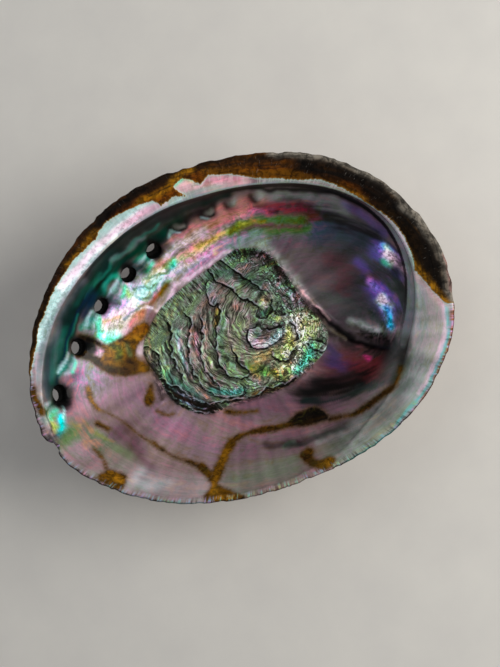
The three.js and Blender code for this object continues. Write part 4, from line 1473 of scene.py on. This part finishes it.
# Colours of the finishes. In the lists, each colour comes after its place on the ramp.
TINTS = {
    "black": (0, 0, 0), "crack": (15, 12, 9), "layer shade": (26, 24, 20), "fine shade": (28, 26, 22),
    "edge shade": (22, 20, 16), "dark step": (17, 12, 8), "pale layer and glint": (208, 212, 188),
    "stain edge": (100, 78, 34), "green stain": (92, 86, 34), "dark horn": (22, 17, 13),
    "black horn": (16, 13, 11), "scratch": (170, 164, 156), "golden edge": (176, 128, 48),
    "white pleat": (240, 240, 240), "pale outline": (196, 236, 216), "bead highlight": (166, 174, 172),
    "bead shade": (8, 10, 10), "pleat shade": (38, 34, 30), "lip outline": (34, 26, 22),
    "rib groove": (44, 32, 26),
}
RIND_COLOURS = [
    (0.3, (52, 34, 28)), (0.45, (104, 56, 42)), (0.55, (132, 82, 62)), (0.66, (112, 96, 66)),
    (0.78, (150, 124, 100)),
]
CRUST_COLOURS = [(0.35, (150, 112, 108)), (0.55, (196, 168, 160)), (0.7, (214, 206, 192))]
WORN_COLOURS = [(0.35, (206, 176, 186)), (0.5, (196, 206, 190)), (0.65, (178, 204, 206))]
HOLE_SHADE_COLOURS = [(0.35, (2, 2, 2)), (0.65, (6, 8, 8))]
FLOOR_COLOURS = [(0.3, (212, 210, 206)), (0.7, (218, 216, 211))]
LAMINA_STRETCH = (0.1, 0.1, 9)  # draws the horny band's layers out along the rim
GLINT = 0.6  # strength of the glow that stands in for the glints: painted light
FILM = [  # colours of the pearl's play, in the order in which they pass into each other
    (0.0, (232, 158, 194)), (0.17, (232, 192, 150)), (0.33, (190, 212, 138)), (0.5, (140, 214, 184)),
    (0.66, (148, 200, 222)), (0.83, (188, 166, 226)), (1.0, (232, 158, 194)),
]


def tint(name):
    """A colour of the finishes, as a socket takes it."""
    return (*linear(TINTS[name]), 1)


class Lining(Finish):
    """The inside: pearl in all its colours, the muscle scar, brown stains and the horny band."""

    def __init__(self):
        super().__init__("pearl_lining")
        objects = self.places()
        whorl = self.attribute("whorl", "Vector")
        rim_grain = self.attribute("rim_grain", "Vector")
        stretched = {0: rim_grain, 1: LAMINA_STRETCH}
        along_rim = self.node("ShaderNodeVectorMath", {"operation": "MULTIPLY"}, stretched)
        self.lamina = self.noise(along_rim, scale=0.7, detail=4.0)
        self.streak = self.noise(whorl, scale=1.1, detail=4.0, roughness=0.6, distortion=0.6)
        self.drift = self.noise(whorl, scale=0.16, detail=2.0)
        self.fibre = self.noise(whorl, scale=2.8, roughness=0.6, distortion=0.4)
        self.speck = self.noise(objects, scale=800.0, roughness=0.65)
        self.patch = self.noise(objects, scale=120.0)
        self.mottle = self.noise(objects, scale=420.0, roughness=0.6, distortion=0.8)
        self.swirl = self.noise(objects, scale=150.0, detail=4.0, roughness=0.6, distortion=1.6)
        self.grain = self.noise(rim_grain, scale=1.0)
        self.stripe = self.noise(rim_grain, scale=0.14, detail=1.0)
        self.scratch = self.noise(rim_grain, scale=3.2, detail=1.0)
        self.lively = self.attribute("play")
        self.in_scar = (self.attribute("scar") + (self.speck - 0.5) * 1.2).rise(0.12, -0.12)
        self.film = self.ramp((self.streak * 0.7 + self.swirl * 1.3 + self.drift * 1.4) % 1.0, FILM)
        self.base = self.attribute("pearl", "Color")

    def cover(self, factor, colour, blend="MIX"):
        """Lays a colour over what is there."""
        self.base = self.mix(factor, self.base, colour, blend)

    def play(self):
        """The pearl's play of colours, and its streaks, specks and swirls of brightness."""
        self.cover(self.lively * 0.5 + 0.16 + self.in_scar * 0.15, self.film, "OVERLAY")
        streaks = (self.streak - 0.5) * (0.6 + self.lively * 0.75) + (self.drift - 0.5) * 0.5
        streaks = streaks + (self.fibre - 0.5) * (0.18 + self.lively * 0.6)
        swirls = (self.swirl - 0.5) * (0.25 + self.lively * 1.9)
        specks = (self.speck - 0.5) * (0.4 + self.lively * 0.6) + (self.stripe - 0.5) * 1.2
        bright = 1.0 + self.lively * 0.12 + streaks + swirls + specks
        sockets = {"Value": bright, "Saturation": 1.1, "Color": self.base}
        self.base = self.node("ShaderNodeHueSaturation", {}, sockets)

    def scar_layers(self):
        """Dark and pale layers along the scar, the crinkles at its right, and its edges."""
        pale = self.mix(0.55, tint("pale layer and glint"), self.film)
        grain = self.attribute("scar_grain", "Vector")
        layers = self.noise(grain, scale=0.95, detail=5.0, roughness=0.65)
        fine = self.noise(grain, scale=2.3, detail=2.0, roughness=0.5)
        self.layers = layers
        self.cover(self.in_scar * layers.rise(0.48, 0.64) * 0.8, pale, "DODGE")
        self.cover(self.in_scar * layers.rise(0.47, 0.4) * 0.85, tint("layer shade"))
        self.cover(self.in_scar * fine.rise(0.46, 0.38) * 0.75, tint("fine shade"))
        self.cover(self.in_scar * fine.rise(0.54, 0.63) * 0.7, pale, "DODGE")
        self.crinkles(pale)
        self.scar_edges(pale)
        dark_step = (layers + self.speck * 0.5).rise(0.9, 0.74)
        self.cover(self.attribute("step") * dark_step * 0.9, tint("dark step"))

    def crinkles(self, pale):
        """Pale ridges and specks between dark cracks, where the scar is wild: painted highlights."""
        wild = self.attribute("wild") * self.in_scar
        crinkle = self.mottle - 0.5
        self.cover(wild * crinkle.rise(0.03, 0.08) * crinkle.rise(0.22, 0.12) * 0.95, pale, "DODGE")
        self.cover(wild * abs(crinkle).rise(0.06, 0.02) * 0.9, tint("crack"))
        self.cover(wild * self.speck.rise(0.54, 0.64) * 0.95, pale, "DODGE")

    def scar_edges(self, pale):
        """The painted highlight on the crest of every raised edge, the painted shadow beside it and the
        dark line between.
        """
        side = self.attribute("edge_side")
        edge = self.attribute("scar_edge") + (self.speck - 0.5) * 0.5
        crest = edge.rise(0.3, 0.45) * edge.rise(1.1, 0.55) * side.rise(0.2, -0.2)
        crest = crest * self.mottle.rise(0.35, 0.6)
        shadow = edge.rise(2.4, 0.7) * side.rise(-0.2, 0.2)
        self.line = edge.rise(0.5, 0.2)
        self.cover(self.in_scar * shadow * 0.6, tint("edge shade"))
        self.cover(self.in_scar * crest * 0.7, pale)
        self.cover(self.in_scar * self.line * 0.95, tint("crack"))

    def brown_layers(self):
        """Stains with soft edges, and the horny band in layers with a golden edge."""
        tone = 0.2 + self.patch.rise(0.35, 0.65) * 0.4 + self.mottle.rise(0.35, 0.65) * 0.8
        sockets = {"Value": tone, "Color": self.attribute("horn", "Color")}
        horn = self.node("ShaderNodeHueSaturation", {}, sockets)
        in_stain = self.stains(horn)
        self.horny_band(horn)
        self.dull = self.node("ShaderNodeMath", {"operation": "MAXIMUM"}, {0: in_stain, 1: self.in_band})

    def stains(self, horn):
        """Lays the stains on, and gives where they are."""
        stain = self.attribute("stain") + (self.speck - 0.5) * 1.0 + (self.patch - 0.5) * 2.6
        in_stain = stain.rise(0.7, -0.7)
        self.cover(stain.rise(1.6, -0.2) * 0.55, tint("stain edge"), "DARKEN")
        self.cover(in_stain, self.mix(self.swirl.rise(0.5, 0.66) * 0.25, horn, tint("green stain")))
        return in_stain

    def horny_band(self, horn):
        """Lays the band on: dark layers, patches, scratches and the golden edge, next to white pleats."""
        band = self.attribute("band") + (self.grain - 0.5) * 1.4 + (self.patch - 0.5) * 2.0
        self.in_band = band.rise(0.15, -0.15)
        patches = self.patch.rise(0.54, 0.62) * self.speck.rise(0.4, 0.5)
        scratched = self.scratch.rise(0.66, 0.7) * self.swirl.rise(0.5, 0.6)
        layered = self.mix(self.lamina.rise(0.5, 0.62) * 0.55, horn, tint("dark horn"))
        layered = self.mix(patches * 0.6, layered, tint("black horn"))
        layered = self.mix(scratched * 0.16, layered, tint("scratch"))
        layered = self.mix(band.rise(-0.6, 0.0) * 0.6, layered, tint("golden edge"))
        pleated = band.rise(4.0, 0.5) * self.grain.rise(0.5, 0.6)
        self.cover(pleated * 0.3, tint("white pleat"))
        self.cover(band.rise(0.6, 0.35) * 0.35, tint("pale outline"))
        self.cover(self.in_band, layered)

    def shelf_bead(self):
        """The bead along the shelf's inner edge, with a painted silver highlight, and the painted shade of
        the dark line inside it.
        """
        bead = self.attribute("bead") + (self.grain - 0.5) * 0.3
        share = self.attribute("beaded")
        silver = self.mix(0.3, tint("bead highlight"), self.film)
        self.cover(share * bead.rise(0.1, 0.3) * bead.rise(1.1, 0.7) * 0.7, silver)
        self.cover(share * bead.rise(-0.9, -0.5) * bead.rise(0.15, 0.0) * 0.85, tint("bead shade"))

    def lip_pleats(self):
        """Bright and dark pleats across the lip, and its dark outline."""
        to_rim = self.attribute("to_rim") + (self.speck - 0.5) * 0.8
        near = to_rim.rise(3.2, 0.9) * (1 - self.in_band)
        self.cover(near * self.grain.rise(0.5, 0.62) * 0.6, self.film)
        self.cover(near * self.grain.rise(0.46, 0.36) * 0.6, tint("pleat shade"))
        self.cover(to_rim.rise(0.55, 0.15) * (0.6 - self.in_band * 0.5), tint("lip outline"))

    def relief(self):
        """The finest relief, as a bent normal."""
        scar = self.in_scar * (self.line * -0.2 + self.layers * 0.5 + self.speck * 0.3)
        pearl = self.streak * (0.06 + self.lively * 0.2) + self.grain * 0.06
        pearl = pearl + self.speck * self.lively * 0.12
        height = scar + (1 - self.in_scar) * pearl + self.in_band * (self.speck + self.lamina) * 0.4
        return self.bump(0.5, height)


def pearl_lining():
    lining = Lining()
    lining.play()
    lining.scar_layers()
    lining.shelf_bead()
    lining.brown_layers()
    lining.lip_pleats()
    # Painted glow: the glints give off a little light of their own.
    shine = lining.attribute("glint") * (1 - lining.dull) * (lining.swirl + lining.speck).rise(0.8, 1.15)
    return lining.shade(
        {"Coat Roughness": 0.12, "Specular IOR Level": 0.06, "Emission Strength": GLINT},
        {
            "Base Color": lining.base,
            "Roughness": 0.36 - lining.in_scar * 0.06 + lining.in_band * 0.2,
            "Metallic": 0.12 + lining.in_scar * 0.15 - lining.dull * 0.1,
            "Coat Weight": 0.02 + lining.lively * 0.15 + lining.in_scar * 0.12,
            "Emission Color": lining.mix(shine, tint("black"), lining.base),
            "Normal": lining.relief(),
        },
    )


def shaded_hole_wall():
    """The inside of the breathing holes, painted near black as the shade in them."""
    finish = Finish("shaded_hole_wall")
    base = finish.ramp(finish.noise(finish.places(), scale=300.0), HOLE_SHADE_COLOURS)
    return finish.shade({"Roughness": 0.6, "Specular IOR Level": 0.05}, {"Base Color": base})


def rind():
    """The outside: reddish ribs with dark grooves, pale crusts, and pearl where the spire is worn."""
    finish = Finish("rind")
    objects = finish.places()
    whorl = finish.attribute("whorl", "Vector")
    rib = finish.attribute("rib")
    years = finish.noise(whorl, scale=0.5, detail=4.0)
    cloud = finish.noise(objects, scale=45.0, detail=5.0)
    grit = finish.noise(objects, scale=600.0, detail=4.0)
    base = finish.ramp(years * 0.55 + cloud * 0.45 + rib * 0.05, RIND_COLOURS)
    base = finish.mix(rib.rise(0.1, -0.8) * 0.5, base, tint("rib groove"))
    crust = (cloud + (grit - 0.5) * 0.35).rise(0.56, 0.66)
    base = finish.mix(crust * 0.8, base, finish.ramp(grit, CRUST_COLOURS))
    worn = (finish.attribute("worn") + (cloud - 0.5) * 1.2 + (grit - 0.5) * 0.4).rise(0.5, 0.62)
    pearl = finish.ramp(finish.noise(whorl, scale=0.7), WORN_COLOURS)
    base = finish.mix(worn * 0.85, base, pearl)
    bump = finish.bump(0.6, grit * 0.5 + years * 0.4)
    linked = {"Base Color": base, "Roughness": 0.72 + grit * 0.2, "Normal": bump}
    return finish.shade({"Specular IOR Level": 0.35}, linked)


def floor_finish():
    """Plain pale paper."""
    finish = Finish("pale_floor")
    base = finish.ramp(finish.noise(finish.places(), scale=40.0, detail=4.0), FLOOR_COLOURS)
    return finish.shade({"Roughness": 0.9, "Specular IOR Level": 0.1}, {"Base Color": base})


NEAR_CLIP = 0.01  # metres
FLOOR_SIZE = 6.0  # metres
FLOOR_DROP = 0.1  # millimetres below the shell, so that the two don't share a plane
LIGHTS = [  # name, right, up, height and size in millimetres, power and colour
    ("window", 620, 130, 440, 560, 6.0, (1.0, 0.97, 0.92)),
    ("fill", -450, 300, 650, 700, 1.6, (0.95, 0.97, 1.0)),
]
LIGHT_AIM = Vector((0, 0, 0.02))  # in metres: in the middle of the bowl
SURROUND_COLOUR = (0.8, 0.8, 0.8, 1)
SURROUND_STRENGTH = 0.22


def make_floor():
    deselect_all()
    bpy.ops.mesh.primitive_plane_add(size=FLOOR_SIZE, location=(0, 0, -FLOOR_DROP * MM))
    floor = bpy.context.object
    floor.name = "floor"
    floor.data.materials.append(floor_finish())


def frame_axes():
    """The frame's right and up as directions in the plan."""
    turn = math.radians(TURN_DEG)
    right = Vector((math.cos(turn), -math.sin(turn), 0))
    up = Vector((math.sin(turn), math.cos(turn), 0))
    return right, up


def make_camera():
    """Straight above the bowl, turned so that the shell lies as in the photograph."""
    right, up = frame_axes()
    lens = bpy.data.cameras.new("camera")
    lens.sensor_width = SENSOR
    lens.lens = SENSOR * CAMERA_HEIGHT / (PIXEL * FRAME_HEIGHT)
    lens.clip_start = NEAR_CLIP
    camera = bpy.data.objects.new("camera", lens)
    bpy.context.scene.collection.objects.link(camera)
    rim_z = cad_high.z / MM - max(value for _, value in RIM_HEIGHT)
    place = Vector((AIM[0], AIM[1], rim_z + CAMERA_HEIGHT)) * MM
    turned = Matrix((right, up, Vector((0, 0, 1)))).transposed().to_4x4()
    camera.matrix_world = Matrix.Translation(place) @ turned
    bpy.context.scene.camera = camera


def add_light(name, right_mm, up_mm, height_mm, size_mm, power, colour):
    """A soft square light, placed by the frame's right and up and aimed at the shell."""
    right, up = frame_axes()
    lamp = bpy.data.lights.new(name, "AREA")
    lamp.size = size_mm * MM
    lamp.energy = power
    lamp.color = colour
    light = bpy.data.objects.new(name, lamp)
    place = (right * right_mm + up * up_mm + Vector((0, 0, height_mm))) * MM
    light.location = place
    light.rotation_euler = (LIGHT_AIM - place).to_track_quat("-Z", "Y").to_euler()
    bpy.context.scene.collection.objects.link(light)


def light_studio():
    """The lights, an even grey all round, and plain colours in the picture."""
    for light in LIGHTS:
        add_light(*light)
    world = bpy.data.worlds.new("studio")
    world.use_nodes = True
    surround = world.node_tree.nodes["Background"].inputs
    surround["Color"].default_value = SURROUND_COLOUR
    surround["Strength"].default_value = SURROUND_STRENGTH
    bpy.context.scene.world = world
    bpy.context.scene.view_settings.view_transform = "Standard"


make_camera()
shell = make_shell()
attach(shell, "root")
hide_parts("shell")
make_floor()
light_studio()
